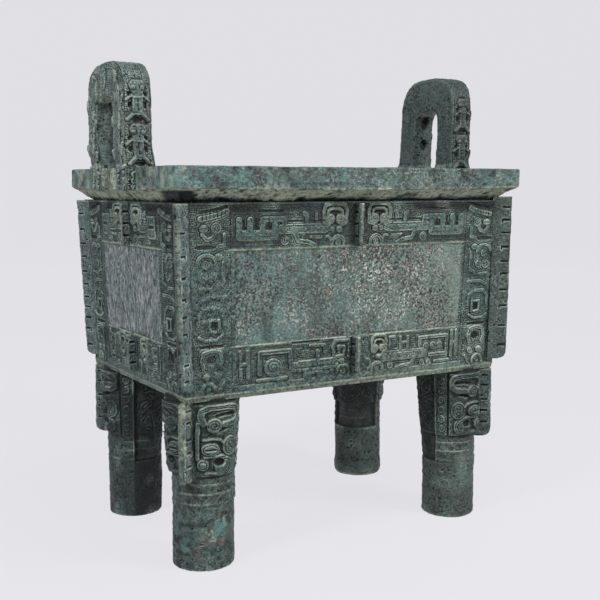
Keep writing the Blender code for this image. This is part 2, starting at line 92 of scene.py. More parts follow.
# Relief heights over a surface, and the fret that fills the ground; drawings are in millimetres
GROUND, GROUND_DEPTH = -1.2, 2.6
FRET_CELL, FRET_PITCH = 16.5, 5.6
BODY, HORN, EYE = 2.6, 3.8, 6.2
HORN_END = 115  # u past which a dragon is shortened on the short walls
HEAD_LENGTH = 0.135  # the part of a dragon that keeps its length there, in metres

# First rings of the lip's underside, face, top and mouth, and one halfway up the face
UNDER_RING, FACE_RING, TOP_RING, MOUTH_RING = 2, 13, 33, 43
MID_FACE = 20


# Noise and small helpers

LATTICE = np.random.default_rng(41).random((64, 64, 64)) * 2 - 1


def noise(points, size, seed=0):
    """Smooth noise in -1..1 at points (..., 3), with features of the given size."""
    p = np.asarray(points) / size + seed * 7.31
    cell = np.floor(p).astype(np.int64)
    f = p - cell
    f = f * f * (3 - 2 * f)
    total = 0.0
    for corner in range(8):
        o = np.array([corner & 1, corner >> 1 & 1, corner >> 2])
        i = (cell + o) & 63
        weight = np.prod(np.where(o == 1, f, 1 - f), axis=-1)
        total = total + weight * LATTICE[i[..., 0], i[..., 1], i[..., 2]]
    return total


def rough(points, size, octaves=3, seed=0):
    """Layered noise, each layer half as big and half as strong."""
    return sum(noise(points, size / 2 ** k, seed + k) / 2 ** k for k in range(octaves))


def smooth(x):
    x = np.clip(x, 0.0, 1.0)
    return x * x * (3 - 2 * x)


def past(x, start, width):
    """0 at start, rising to 1 a width further on; a negative width turns it round."""
    return smooth((x - start) / width)


def soft_step(x, edge, width):
    """A step from 0 to 1 with its middle on edge; a negative width makes it fall."""
    return smooth((x - edge) / width + 0.5)


def hump(x, middle, width):
    """1 at the middle, falling to 0 at a width away."""
    return smooth(1 - np.abs(x - middle) / width)


def patches(points, size, seed, gain=1.0, shift=0.0):
    """Soft patches of noise in 0..1: gain hardens their edges, shift widens them."""
    return smooth(noise(points, size, seed) * gain + shift)


def pitting(points, size, seed, level, octaves=2):
    """Scattered pits: how far layered noise stands over a level."""
    return np.clip(rough(points, size, octaves, seed) - level, 0, 1)


def blur(field, reach):
    """A box blur in both directions, reach cells each way."""
    for axis in (0, 1):
        pad = [(0, 0), (0, 0)]
        pad[axis] = (reach + 1, reach)
        sums = np.cumsum(np.pad(field, pad, mode="edge"), axis=axis)
        n = field.shape[axis]
        high = np.take(sums, range(2 * reach + 1, 2 * reach + 1 + n), axis=axis)
        low = np.take(sums, range(0, n), axis=axis)
        field = (high - low) / (2 * reach + 1)
    return field


def steps(low, high, pitch):
    return np.linspace(low, high, max(2, int(ceil((high - low) / pitch)) + 1))


# Drawing relief on a grid

class Relief:
    """Raised bands, knobs, cut lines and a fretted ground over a grid of u across and v up.

    All of it is drawn in millimetres. place turns the two values of a drawing into (u, v).
    """

    def __init__(self, u, v, echo=11, depth=GROUND_DEPTH):
        self.u, self.v, self.echo, self.depth = 1000 * u, 1000 * v, echo, depth
        shape = (len(v), len(u))
        self.top, self.cover, self.cut, self.dark, self.light = (np.zeros(shape) for _ in range(5))
        self.away = np.full(shape, 1000.0)
        self.place = lambda a, b: (a, b)

    def near(self, path, reach):
        """The part of the grid within reach of path, and each point's distance from path there."""
        us, vs = [p[0] for p in path], [p[1] for p in path]
        c = np.searchsorted(self.u, (min(us) - reach, max(us) + reach))
        r = np.searchsorted(self.v, (min(vs) - reach, max(vs) + reach))
        part = (slice(r[0], r[1]), slice(c[0], c[1]))
        u, v = self.u[part[1]][None, :], self.v[part[0]][:, None]
        best = np.hypot(u - us[0], v - vs[0])
        for (u0, v0), (u1, v1) in zip(path, path[1:]):
            du, dv = u1 - u0, v1 - v0
            t = np.clip(((u - u0) * du + (v - v0) * dv) / max(du * du + dv * dv, 1e-6), 0, 1)
            best = np.minimum(best, np.hypot(u - u0 - t * du, v - v0 - t * dv))
        return part, best

    def oval(self, part, u, v, ru, rv):
        """Distance from (u, v) in shares of an oval's half sizes."""
        return np.hypot((self.u[part[1]][None, :] - u) / ru, (self.v[part[0]][:, None] - v) / rv)

    def raise_to(self, part, edge, height, soft):
        """Lift what lies inside edge (a signed distance) to a height, and note it for the ground."""
        share = smooth(0.5 - edge / soft)
        self.away[part] = np.minimum(self.away[part], edge)
        self.cover[part] = np.maximum(self.cover[part], share)
        self.top[part] = np.maximum(self.top[part], height * share)

    def cut_to(self, part, depth, share, darkness=1.0):
        self.cut[part] = np.maximum(self.cut[part], depth * share)
        # dark keeps the painted shade of cuts and pits
        self.dark[part] = np.maximum(self.dark[part], share * darkness)

    def ribbon(self, path, width, height, cut=0):
        """A raised flat band on grid places, with a cut line along its middle where cut is given."""
        part, d = self.near(path, width / 2 + self.echo)
        self.raise_to(part, d - width / 2, height, 1.8)
        if cut:
            self.groove(path, 2.4, cut)

    def groove(self, path, width, depth):
        """A cut line on grid places; the wider it is, the darker it looks."""
        part, d = self.near(path, width)
        # wider cuts are painted darker, as shade in them
        self.cut_to(part, depth, soft_step(d, width / 2, -1.4), min(1.0, width / 6) ** 2)

    def knob(self, u, v, ru, rv, height, base=0):
        part, _ = self.near([(u, v)], max(ru, rv) + self.echo)
        d = self.oval(part, u, v, ru, rv)
        rise = base + (height - base) * np.sqrt(np.clip(1 - d * d, 0, 1))
        self.raise_to(part, (d - 1) * min(ru, rv), rise, 1.6)

    def band(self, path, width, height=BODY, cut=0):
        self.ribbon([self.place(a, b) for a, b in path], width, height, cut)

    def line(self, path, width, depth):
        self.groove([self.place(a, b) for a, b in path], width, depth)

    def bow(self, a, b, ru, rv, start, end, width, height=BODY, cut=0, count=10):
        """A raised band along an arc."""
        self.ribbon(arc(*self.place(a, b), ru, rv, start, end, count), width, height, cut)

    def ring(self, a, b, ru, rv, start, end, width, depth, count):
        """A line cut along an arc."""
        self.groove(arc(*self.place(a, b), ru, rv, start, end, count), width, depth)

    def dome(self, a, b, ru, rv, height, base=0):
        """A round or oval knob."""
        self.knob(*self.place(a, b), ru, rv, height, base)

    def curl(self, a, b, radius, turns=1.25, start=0, turn=1, height=BODY, squash=1.0):
        """A flat round knob with a spiral line cut into it."""
        u, v = self.place(a, b)
        self.knob(u, v, radius, radius * squash, height, height * 0.7)
        self.groove(spiral(u, v, radius * 0.8, turns, start, turn, squash), min(3, radius * 0.3), 2.6)

    def pit(self, a, b, ru, rv, depth):
        u, v = self.place(a, b)
        part, _ = self.near([(u, v)], max(ru, rv) + 3)
        self.cut_to(part, depth, smooth((1 - self.oval(part, u, v, ru, rv)) * 2.5 + 0.3))

    def wash(self, a, b, ru, rv, share):
        """Paler dust on the forms inside an oval."""
        d = self.oval((slice(None), slice(None)), *self.place(a, b), ru, rv)
        self.light = np.maximum(self.light, share * smooth((1 - d) * 4 + 0.5))

    def finish(self):
        """Heights in metres: the forms, and between them lines that echo their outlines or a fret."""
        near = past(self.away, self.echo, -3)
        echo = 0.5 - 0.5 * np.cos(2 * pi * (self.away - 1.6) / FRET_PITCH)
        pattern = echo * near + thunder(self.u[None, :], self.v[:, None]) * (1 - near)
        ground = GROUND + self.depth * (pattern - 0.5)
        return (ground * (1 - self.cover) + self.top - self.cut) / 1000


def spiral(u, v, radius, turns=1.25, start=0, turn=1, squash=1.0):
    """Points of a spiral from its outer end in towards the middle, angles in degrees."""
    count = int(14 * turns) + 2
    out = []
    for i in range(count):
        t = i / (count - 1)
        a = radians(start + turn * 360 * turns * t)
        r = radius * (1 - 0.85 * t)
        out.append((u + r * cos(a), v + r * squash * sin(a)))
    return out


def arc(u, v, ru, rv, start, end, count):
    """Points along an arc, angles in degrees."""
    turns = [radians(start + (end - start) * i / count) for i in range(count + 1)]
    return [(u + ru * cos(a), v + rv * sin(a)) for a in turns]


def thunder(u, v):
    """The fret of small square spirals that fills a ground, as heights in 0..1; u and v in mm."""
    cu, cv = np.floor(u / FRET_CELL), np.floor(v / FRET_CELL)
    p, q = (u / FRET_CELL - cu) * 2 - 1, (v / FRET_CELL - cv) * 2 - 1
    flip = np.where((cu + cv) % 2 == 0, 1, -1)
    away = np.maximum(np.abs(p), np.abs(q)) * FRET_CELL / 2
    turned = np.arctan2(q, p * flip) / (2 * pi)
    return 0.5 + 0.5 * np.cos(2 * pi * (away / FRET_PITCH - turned))


def scrolls(u, v, cell, pitch):
    """Round spirals on a staggered lattice, as heights in 0..1."""
    cv = np.floor(v / cell)
    cu = np.floor(u / cell + 0.5 * (cv % 2))
    p, q = (u / cell + 0.5 * (cv % 2) - cu - 0.5) * cell, (v / cell - cv - 0.5) * cell
    flip = np.where((cu + cv) % 2 == 0, 1, -1)
    return 0.5 + 0.5 * np.cos(2 * pi * (np.hypot(p, q) / pitch - np.arctan2(q, p * flip) / (2 * pi)))


# Meshes

def make_mesh(name, verts, faces, attributes):
    """A mesh from points, a list of face arrays and values per point."""
    mesh = bpy.data.meshes.new(name)
    sizes = np.concatenate([np.full(len(f), f.shape[1]) for f in faces])
    loops = np.concatenate([f.reshape(-1) for f in faces]).astype(np.int32)
    mesh.vertices.add(len(verts))
    mesh.vertices.foreach_set("co", np.ascontiguousarray(verts, dtype=np.float32).reshape(-1))
    mesh.loops.add(len(loops))
    mesh.loops.foreach_set("vertex_index", loops)
    mesh.polygons.add(len(sizes))
    mesh.polygons.foreach_set("loop_start", np.concatenate([[0], np.cumsum(sizes)[:-1]]).astype(np.int32))
    mesh.update(calc_edges=True)
    mesh.shade_smooth()
    for key, values in attributes.items():
        made = mesh.attributes.new(key, "FLOAT", "POINT")
        made.data.foreach_set("value", np.ascontiguousarray(values, dtype=np.float32).reshape(-1))
    obj = bpy.data.objects.new(name, mesh)
    bpy.context.scene.collection.objects.link(obj)
    return obj


def grid_faces(rows, cols, wrap=False, skip=None):
    """Quads between neighbouring points of a grid, leaving out the cells in skip."""
    wide = cols if wrap else cols - 1
    r, c = np.meshgrid(np.arange(rows - 1), np.arange(wide), indexing="ij")
    if skip is not None:
        r, c = r[~skip], c[~skip]
    r, c = r.reshape(-1), c.reshape(-1)
    d = (c + 1) % cols
    return np.stack([r * cols + c, r * cols + d, (r + 1) * cols + d, (r + 1) * cols + c], axis=1)


def coarse_faces(index, box, leap=4):
    """Large faces over the box of an even field; returns them and the points they don't use."""
    r0, r1, c0, c1 = box
    keep = np.ones(index.shape, bool)
    keep[r0 + 1:r1, c0 + 1:c1] = False
    rows = list(range(r0, r1, leap)) + [r1]
    cols = list(range(c0, c1, leap)) + [c1]
    by_size = {}
    for ra, rb in zip(rows, rows[1:]):
        for ca, cb in zip(cols, cols[1:]):
            walk = ([(ra, c) for c in range(ca, cb)] + [(r, cb) for r in range(ra, rb)]
                    + [(rb, c) for c in range(cb, ca, -1)] + [(r, ca) for r in range(rb, ra, -1)])
            corner = {(ra, ca), (ra, cb), (rb, ca), (rb, cb)}
            for place in corner:
                keep[place] = True
            loop = [index[p] for p in walk if p in corner or p[0] in (r0, r1) or p[1] in (c0, c1)]
            by_size.setdefault(len(loop), []).append(loop)
    return [np.array(f) for f in by_size.values()], keep


def slab(name, points, back, attributes, coarse):
    """A closed slab: a modelled front, and a plain back that lies off it by the vector back.

    coarse gives the rows and columns of an even field that is filled with larger faces.
    """
    rows, cols = points.shape[:2]
    index = np.arange(rows * cols).reshape(rows, cols)
    large, keep = coarse_faces(index, coarse)
    skip = np.zeros((rows - 1, cols - 1), bool)
    skip[coarse[0]:coarse[1], coarse[2]:coarse[3]] = True
    faces = [grid_faces(rows, cols, skip=skip)] + large
    rim = np.concatenate([index[0, :-1], index[:-1, -1], index[-1, :0:-1], index[:0:-1, 0]])
    front = points.reshape(-1, 3)
    behind = front[rim] + back
    ring = rows * cols + np.arange(len(rim))
    centre = rows * cols + len(rim)
    after = np.roll(ring, -1)
    faces.append(np.stack([np.roll(rim, -1), rim, ring, after], axis=1))
    faces.append(np.stack([after, ring, np.full(len(rim), centre)], axis=1))
    verts = np.concatenate([front, behind, behind.mean(axis=0)[None]])
    values = {k: np.concatenate([a.reshape(-1), a.reshape(-1)[rim], [0.0]]) for k, a in attributes.items()}
    used = np.concatenate([keep.reshape(-1), np.ones(len(rim) + 1, bool)])
    new = np.cumsum(used) - 1
    return make_mesh(name, verts[used], [new[f] for f in faces], {k: a[used] for k, a in values.items()})


def tube(name, points, attributes, closed=False):
    """A closed body from a stack of closed rings, capped at both ends or joined end to end."""
    rows, cols = points.shape[:2]
    verts = points.reshape(-1, 3)
    if closed:
        index = np.arange(rows * cols).reshape(rows, cols)
        after = np.roll(index, -1, axis=0)
        quads = np.stack([index, np.roll(index, -1, 1), np.roll(after, -1, 1), after], axis=-1)
        return make_mesh(name, verts, [quads.reshape(-1, 4)], attributes)
    low, high = np.arange(cols), (rows - 1) * cols + np.arange(cols)
    centre = rows * cols
    faces = [grid_faces(rows, cols, wrap=True),
             np.stack([np.roll(low, -1), low, np.full(cols, centre)], axis=1),
             np.stack([high, np.roll(high, -1), np.full(cols, centre + 1)], axis=1)]
    verts = np.concatenate([verts, points[0].mean(axis=0)[None], points[-1].mean(axis=0)[None]])
    values = {k: np.concatenate([a.reshape(-1), [a[0].mean(), a[-1].mean()]]) for k, a in attributes.items()}
    return make_mesh(name, verts, faces, values)


def outward(points):
    """Unit normals of a grid of rings of points, from its neighbours."""
    along = np.gradient(points, axis=0)
    across = np.roll(points, -1, axis=1) - np.roll(points, 1, axis=1)
    n = np.cross(across, along)
    return n / np.maximum(np.linalg.norm(n, axis=-1, keepdims=True), 1e-9)


def marks(height, panel=0.0, shade=0.0, pale=0.0, far=4, level=1.0, teal=0.0, rust=0.0):
    """Values per point for the material: heights over close and wider surroundings in mm, and tones.

    level is the share of brightness a raised edge keeps: level ones catch more light than upright ones.
    """
    edge, cavity = ((height - blur(height, reach)) * 1000 for reach in (1, far))
    tones = {"panel": panel, "shade": np.clip(shade, 0, 1), "pale": np.clip(pale, 0, 1), "teal": teal,
             "rust": np.clip(rust, 0, 1)}
    values = {key: np.zeros(height.shape) + tone for key, tone in tones.items()}
    return {"edge": np.where(edge > 0, edge * level, edge), "cavity": cavity, **values}


def levelness(slope, least):
    """1 where a surface steps out or in as it rises, down to least where it doesn't."""
    return least + (1 - least) * smooth(np.abs(slope) * 1.6)


def finish_piece(obj, material):
    obj.data.materials.append(material)
    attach(obj, "root")
    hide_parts("cauldron")
    return obj


# Ornament of the walls. Places are (u, z) in millimetres, with z the height above the ground.

def wall_place(shift=0.0, shrink=1.0):
    """A function that turns (u, z) into places on a wall, where z is the height above the ground."""
    def place(u, z):
        short = HORN_END + (u - HORN_END) * shrink if u > HORN_END else u
        return short + shift, z - 1000 * UNDERSIDE
    return place


def frame_horn(r, u, z, wide, tall):
    """A dragon's horn: a rounded frame round a brow bar and two curls that roll in from its foot.

    Inside it, places are shares of its half width and its height, counted from the middle of its foot.
    """
    foot_u, foot_v = r.place(u, z)
    w, outer = wide / 2, r.place
    r.place = lambda x, y: (foot_u + x * w, foot_v + y * tall)

    def arched(*left):
        return [(-x, y) for x, y in left] + [(x, y) for x, y in left[::-1]]

    r.band(arched((0.5, 0.02), (0.88, 0.1), (0.94, 0.6), (0.8, 0.88), (0.4, 0.93)), 0.26 * w, HORN + 1,
           cut=2)
    r.band(arched((0.62, 0.4), (0.58, 0.62), (0.34, 0.72)), 0.2 * w, HORN + 1)
    r.line(arched((0.74, 0.5), (0.7, 0.7), (0.4, 0.815)), 3.4, 3)
    for end in (-1, 1):
        r.curl(end * 0.41, 0.26, 0.36 * w, 1.5, 90 - 90 * end, -end, HORN + 1.4)
    r.pit(0, 0.555, 0.42 * w, 0.07 * tall, 4.6)
    r.pit(0, 0.46, 0.1 * w, 0.09 * tall, 4.6)
    r.pit(0, 0.05, 0.14 * w, 0.08 * tall, 3)
    r.wash(0, 0.5, 1.15 * w, 0.62 * tall, 0.24)
    r.place = outer


def upper_dragon(r, k):
    """The dragon of the upper band, from the centre flange out to its tail fins; k shortens it."""
    r.place = wall_place(shrink=k)
    frame_horn(r, 71.5, 890, 78, 60)
    r.dome(58.5, 878.5, 10, 9, EYE)
    r.curl(80, 878.5, 7)
    r.curl(96, 878, 7)
    r.band([(104, 881.5), (236, 881.5)], 25)
    r.line([(108, 889), (222, 889)], 2.6, 2)
    r.line([(108, 875), (186, 875)], 2.6, 1.4)
    r.curl(218, 881.5, 9, height=BODY + 0.8)
    r.band([(160, 890), (160, 916), (168, 922)], 12)
    r.band([(130, 904), (130, 918)], 9)
    r.band([(227, 888), (229, 908), (288, 908), (296, 898)], 15, cut=1.6)
    r.line([(235, 929), (301, 929)], 6.4, 4.6)
    r.line([(105, 902), (148, 902)], 5, 4)
    r.line([(172, 902), (215, 902)], 5, 4)
    r.band([(258, 867), (356, 867)], 26, BODY + 0.6)
    r.line([(256, 863), (356, 863)], 2.6, 1.8)
    for u in (256, 292.5, 328, 360):
        r.band([(u, 872), (u, 907)], 16.5, BODY + 0.6)
    for u in (273.5, 310, 346):
        r.pit(u, 886, 8, 5.5, 4)
        r.line([(u, 890), (u, 906)], 5, 2)
    r.bow(62, 840, 19.5, 19.5, 190, -10, 9.5, HORN, cut=1.8)
    r.curl(62, 843, 9.5, height=HORN)
    r.bow(96, 847, 11, 13, 200, 60, 6.5, count=5)
    r.band([(196, 872), (186, 850), (156, 846), (134, 837.5)], 12)
    r.band([(116, 858), (148, 860)], 7.5)
    r.curl(226, 852, 12.5, 1.4, 90, -1)


def lower_dragon(r, k):
    """The close-cut dragon of the lower band."""
    r.place = wall_place(shrink=k)
    frame_horn(r, 86, 529, 56, 52)
    r.dome(83, 518.5, 9, 8.5, EYE)
    r.band([(104, 516.5), (245, 516.5)], 29)
    r.line([(104, 527.5), (240, 527.5)], 2.4, 1.8)
    for i, u in enumerate((116, 138, 161, 185, 209, 233)):
        r.curl(u, 516.5, 9.2, 1.5, 90 * (i % 4), 1, BODY + 1.2)
    for u in (162, 188):
        r.band([(u, 533), (u, 568)], 8.5)
    r.band([(162, 552), (188, 552)], 7.5)
    r.band([(124, 542), (124, 570), (142, 570)], 7.5)
    r.bow(80, 485, 18.5, 17.5, 190, -10, 9, HORN, cut=1.8)
    r.curl(80, 488, 9, height=HORN)
    r.bow(44, 500, 13, 15, 100, -60, 7.5, count=6)
    r.band([(212, 502), (200, 488), (170, 486), (150, 482)], 10)
    r.curl(128, 490, 10.5)
    r.band([(230, 540), (230, 561), (332, 561), (332, 508), (272, 508)], 11, HORN, cut=1.8)
    for u in (256, 282, 307):
        r.curl(u, 534.5, 11, 1.4, 0, -1)
    r.band([(350, 573), (350, 501)], 10, HORN)
    r.band([(368, 573), (368, 501)], 9)
    r.band([(350, 538), (368, 538)], 8)
    r.curl(244, 488, 9.5)
    r.curl(268, 487, 9)
    r.band([(292, 488), (342, 488)], 10)


def recast_dragon(r):
    """The coarser dragon of the front's lower left band, cast again after damage."""
    r.place = wall_place()
    r.band([(18, 530), (15, 550), (20, 574), (64, 574), (72, 556), (67, 530), (35, 532), (33, 556),
            (53, 557), (51, 544)], 9, HORN)
    r.band([(26, 585), (94, 585)], 7, HORN)
    r.dome(41, 518, 10, 8.5, EYE)
    r.band([(16, 483), (18, 498), (29, 504), (45, 503), (55, 496), (56, 483)], 9.5, HORN)
    r.curl(36, 488, 8.5, height=HORN)
    r.dome(72, 494, 8, 7.5, HORN)
    r.band([(64, 513.5), (199, 513.5)], 27)
    r.band([(64, 527.5), (112, 527.5)], 5, HORN + 1)
    r.band([(129, 527.5), (182, 527.5)], 5, HORN + 1)
    r.line([(64, 510), (196, 510)], 3, 2.4)
    r.band([(120, 523), (120, 550)], 13)
    r.band([(98, 548), (98, 566), (144, 568)], 9.5)
    r.curl(155, 490, 12.5, height=HORN)
    r.curl(112, 488, 10.5, height=HORN)
    r.band([(118, 492), (144, 496)], 9.5)
    r.curl(262, 519, 27, 1.9, 200, -1, BODY, 0.9)
    r.band([(206, 512), (210, 560), (302, 560), (304, 506)], 13, HORN, cut=2)
    r.band([(338, 566), (338, 500)], 12)
    r.band([(360, 566), (360, 500)], 11)
    r.band([(338, 534), (360, 534)], 9)
    r.band([(220, 488), (310, 488)], 9.5)
    r.line([(116, 579), (200, 579)], 6, 3.4)


def strip_masks(r, end):
    """Stacked masks and scrolls of a wall's end strip; end is the wall's half length."""
    r.place = wall_place(1000 * (end - HALF_X))
    # a toothed crescent brow over eye, curl and nose
    r.line([(466, 927), (430, 933), (394, 942)], 8, 5)
    r.band([(468, 911), (440, 916), (410, 923), (394, 930)], 14, HORN)
    for k in range(7):
        r.line([(463 - 10.5 * k, 906 + 2.2 * k), (463 - 10.5 * k, 918 + 2.2 * k)], 2.6, 3)
    r.dome(459, 887, 12.5, 10.5, EYE)
    r.line([(450, 887), (468, 887)], 2.6, 3.4)
    r.curl(424, 888, 14, 1.6, 0, 1, HORN)
    r.band([(464, 872), (451, 859), (435, 864), (430, 872)], 10, HORN)
    r.pit(456, 840, 30, 6, 5.6)
    r.band([(402, 872), (402, 846), (420, 842)], 9.5)
    # an arched brow, oval and two curls
    r.bow(454, 800, 26, 22, 175, 10, 8, HORN, count=8)
    r.dome(419, 816, 12, 9, EYE - 1.6)
    r.curl(456, 796, 11, 1.3, 0, 1)
    r.curl(464, 764, 13, 1.5, 90, 1)
    r.curl(437, 765, 12, 1.5, 90, -1)
    r.band([(406, 800), (406, 748), (422, 742)], 9)
    r.band([(472, 737), (440, 735)], 8)
    # a rounded pit in a C frame over a smile
    r.band([(406, 645), (408, 674), (428, 686), (462, 686), (478, 670), (478, 645)], 10)
    r.band([(421, 625), (421, 656), (448, 656), (448, 628), (430, 625)], 7, HORN)
    r.pit(435, 640, 9, 12, 3)
    r.band([(480, 614), (462, 605), (430, 605), (412, 615)], 8, HORN)
    r.band([(402, 714), (448, 714), (472, 704)], 9.5)
    r.line([(474, 588), (412, 588)], 7, 5)
    # a hollow horn frame over an eye and a nose arch
    r.band([(420, 534), (415, 550), (420, 573), (442, 578), (468, 573), (474, 552),
            (468, 534)], 10, HORN, cut=1.8)
    r.pit(444, 553, 16, 12, 4)
    r.dome(460, 510, 12, 10, EYE)
    r.curl(426, 509, 10, height=HORN)
    r.bow(455, 473, 18.5, 21, 180, 0, 8.5, HORN)
    r.curl(455, 479, 8)
    r.band([(408, 494), (420, 474)], 9)
    r.line([(384, 490), (384, 940)], 3.6, 2.6)


def wall_point(side, u, v, w):
    """Places on a wall for u across, v up and w out, as in the CAD part."""
    lean = WALL_TAPER * (1 - v / BODY_HEIGHT)
    z = UNDERSIDE + v + 0 * u
    if side in ("front", "back"):
        across = u * (HALF_X - lean) / HALF_X
        out = HALF_Y - lean + w
        return np.stack([across, -out, z] if side == "front" else [-across, out, z], axis=-1)
    across = u * (HALF_Y - lean) / HALF_Y
    out = HALF_X - lean + w
    return np.stack([out, across, z] if side == "right" else [-out, -across, z], axis=-1)


def half_length(side):
    return HALF_X if side in ("front", "back") else HALF_Y


def half_wall(side, sign, u, v):
    """Half of a wall, u counted from the middle: relief, panel, open ground, cut lines, dusty forms."""
    half = half_length(side)
    inner = half - END_STRIP
    shrink = (inner - HEAD_LENGTH) / (HALF_X - END_STRIP - HEAD_LENGTH)
    r = Relief(u, v)
    upper_dragon(r, shrink)
    if side == "front" and sign < 0:
        recast_dragon(r)
    else:
        lower_dragon(r, shrink)
    strip_masks(r, half)
    u, v = u[None, :], v[:, None]
    inside = (soft_step(u, inner, -0.0024) * soft_step(v, LOWER_BAND[1], 0.0024)
              * soft_step(v, UPPER_BAND[0], -0.0024))
    low = np.where(u > inner + 0.02, 0.02, LOWER_BAND[0])
    border = np.maximum(soft_step(v, low, -0.002), soft_step(v, UPPER_BAND[1], 0.002))
    h = r.finish() * (1 - inside) - PANEL_DEPTH * inside
    cast = (1 - inside) * (1 - border)
    dusty = r.light * r.cover * (1 - r.dark) * (1 - inside)
    # the cut lines are returned as their painted shade
    return h * (1 - border) + 0.0004 * border, inside, (1 - r.cover) * cast, r.dark * cast, dusty


def make_wall(side, material):
    pitch = WALL_PITCH[side]
    half = half_length(side)
    inner = half - END_STRIP
    front, left = side == "front", side == "left"
    panel_foot, panel_top = LOWER_BAND[1], UPPER_BAND[0]
    u_half = steps(0, half, pitch)
    u = np.concatenate([-u_half[:0:-1], u_half])
    v = steps(0, BODY_HEIGHT, pitch)
    halves = zip(half_wall(side, -1, u_half, v), half_wall(side, 1, u_half, v))
    h, panel, ground, cuts, dusty = (np.concatenate([a[:, :0:-1], b], axis=1) for a, b in halves)
    uu, vv = u[None, :] + 0 * h, v[:, None] + 0 * h
    base = wall_point(side, uu, vv, 0 * h)
    # rubbed and badly cast areas lose their sharpness
    recast = front * past(uu, RECAST[0], -0.02) * past(vv, RECAST[1], -0.03)
    worn = np.clip(patches(base, 0.13, 5, 1.1, 0.35) * 0.6 + 0.3 * recast, 0, 0.75)
    h = h * (1 - worn) + blur(h, 2) * worn
    drift = [0.004 * noise(base, 0.03, seed) for seed in (61, 62)]
    fine = scrolls(uu + drift[0], vv + drift[1], 0.024, 0.0062)
    h = h + 0.0011 * (fine - 0.5) * np.maximum(recast, 0.5 * patches(base, 0.07, 63, 2) * (1 - panel))
    # ledges above and below the panel, ragged
    ragged = patches(base, 0.03, 6, 1.5, 0.5)
    within = past(np.abs(uu), inner + 0.02, -0.01)
    ledge = within * (0.45 + 0.55 * ragged) * (hump(vv, panel_top + 0.001, 0.0042)
                                               + 0.8 * hump(vv, panel_foot, 0.0036))
    h = h + 0.0022 * ledge
    grit = 0.0009 * rough(base, 0.0085, 2, 1) * (0.55 + worn) * (1 - 0.6 * panel)
    pits = 0.009 * pitting(base, 0.0065, 3, 0.66) * (1 - 0.7 * panel)
    h = h + grit + 0.0013 * rough(base, 0.09, 2, 2) - pits
    bevel = np.clip(1 - vv / BASE_BEVEL_HEIGHT, 0, 1) * BASE_BEVEL_IN
    # painted highlights on relief edges that face down in the upper band and up in the lower band; pale
    # ledges by the panel, dust on the horn and along the base; on the front's right the lower band is
    # lighter, painted light
    down = np.gradient(h, v, axis=0)
    pale = (0.5 * smooth(down * 1.6 - 0.35) * past(vv, panel_top - 0.03, 0.02)
            + 0.35 * smooth(-down * 1.6 - 0.35) * past(vv, panel_foot + 0.01, -0.01) + 0.9 * ledge)
    pale = pale + dusty + 0.45 * hump(vv, BASE_BEVEL_HEIGHT, 0.003) + 0.35 * hump(vv, 0.002, 0.006) * ragged
    pale = pale + 0.26 * past(vv, 0.018, -0.003) * patches(base, 0.05, 45, 1, 0.9)
    pale = pale + 0.13 * front * past(uu, 0, 0.05) * past(vv, panel_foot, -0.01) * (1 - ground)
    # painted shadow under the lip; a darker ground between the forms, most in the upper band; painted shade
    # in cut lines
    shade = 0.62 * past(vv, BODY_HEIGHT - 0.04, 0.04) * patches(base, 0.05, 7, 1.3, 0.65)
    ground_darkening = 0.22 + 0.45 * past(vv, panel_top, 0.01) * smooth((uu + 0.45) / 0.1 + (not front))
    shade = shade + ground * ground_darkening * patches(base, 0.045, 36, 1, 0.75) * (1 - 0.6 * recast)
    shade = shade + 0.85 * cuts * (1 - 0.5 * recast)
    # the left end is darker in its lower band, beside the near corner and in a notch of its top
    low_left = left * past(vv, panel_foot, -0.01) * past(vv, LOWER_BAND[0], 0.01)
    shade = shade + 0.55 * low_left * patches(base * (1, 1, 0.25), 0.016, 43, 2.2, -0.1)
    shade = shade + 0.5 * left * past(uu, half - 0.11, 0.02) * patches(base, 0.012, 44, 2, 0.3)
    notch = left * past(uu, half - 0.125, 0.03) * past(vv, BODY_HEIGHT - 0.034, 0.008)
    shade = shade + 0.9 * notch * patches(base, 0.02, 71, 2, 0.7)
    # the joints beside the corner flanges, and the seam over the base
    beside = np.where(front & (uu < 0), 0.0235, np.where(left & (uu > 0), 0.049, 0.034))
    joint = hump(np.abs(uu), half - beside, 0.006) * np.where((uu > 0) & front, 0.15, 0.55)
    shade = shade + joint + 0.35 * hump(vv, 0.0195, 0.003) * patches(base, 0.05, 64, 1, 0.6)
    rows = np.nonzero((v > panel_foot + 0.007) & (v < panel_top - 0.007))[0]
    cols = np.nonzero(np.abs(u) < inner - 0.006)[0]
    back = {"front": (0, 1, 0), "back": (0, -1, 0), "left": (1, 0, 0), "right": (-1, 0, 0)}[side]
    # raised edges are rubbed and painted with highlights; upright ones and those of the recast lower band
    # keep less
    level = levelness(down, 0.35) * (1 - 0.5 * front * (uu < 0) * (vv < panel_foot))
    points = wall_point(side, uu, vv, h - bevel)
    obj = slab(f"{side}_wall", points, 0.008 * np.array(back), marks(h, panel, shade, pale, level=level),
               (rows[0], rows[-1], cols[0], cols[-1]))
    return finish_piece(obj, material)


# Basin and lip

def outline(half_x, half_y, z, count_x, count_y):
    """Points round a rectangle at height z, count_x along each long side."""
    out = []
    corners = [(-1, -1), (1, -1), (1, 1), (-1, 1)]
    for i in range(4):
        (ax, ay), (bx, by) = corners[i], corners[(i + 1) % 4]
        n = count_x if i % 2 == 0 else count_y
        for k in range(n):
            t = k / n
            out.append((half_x * (ax + (bx - ax) * t), half_y * (ay + (by - ay) * t), z))
    return np.array(out)


def between(start, end, shares):
    """Points on the straight line from start to end, at shares of its length."""
    return [tuple(a + (b - a) * t for a, b in zip(start, end)) for t in shares]


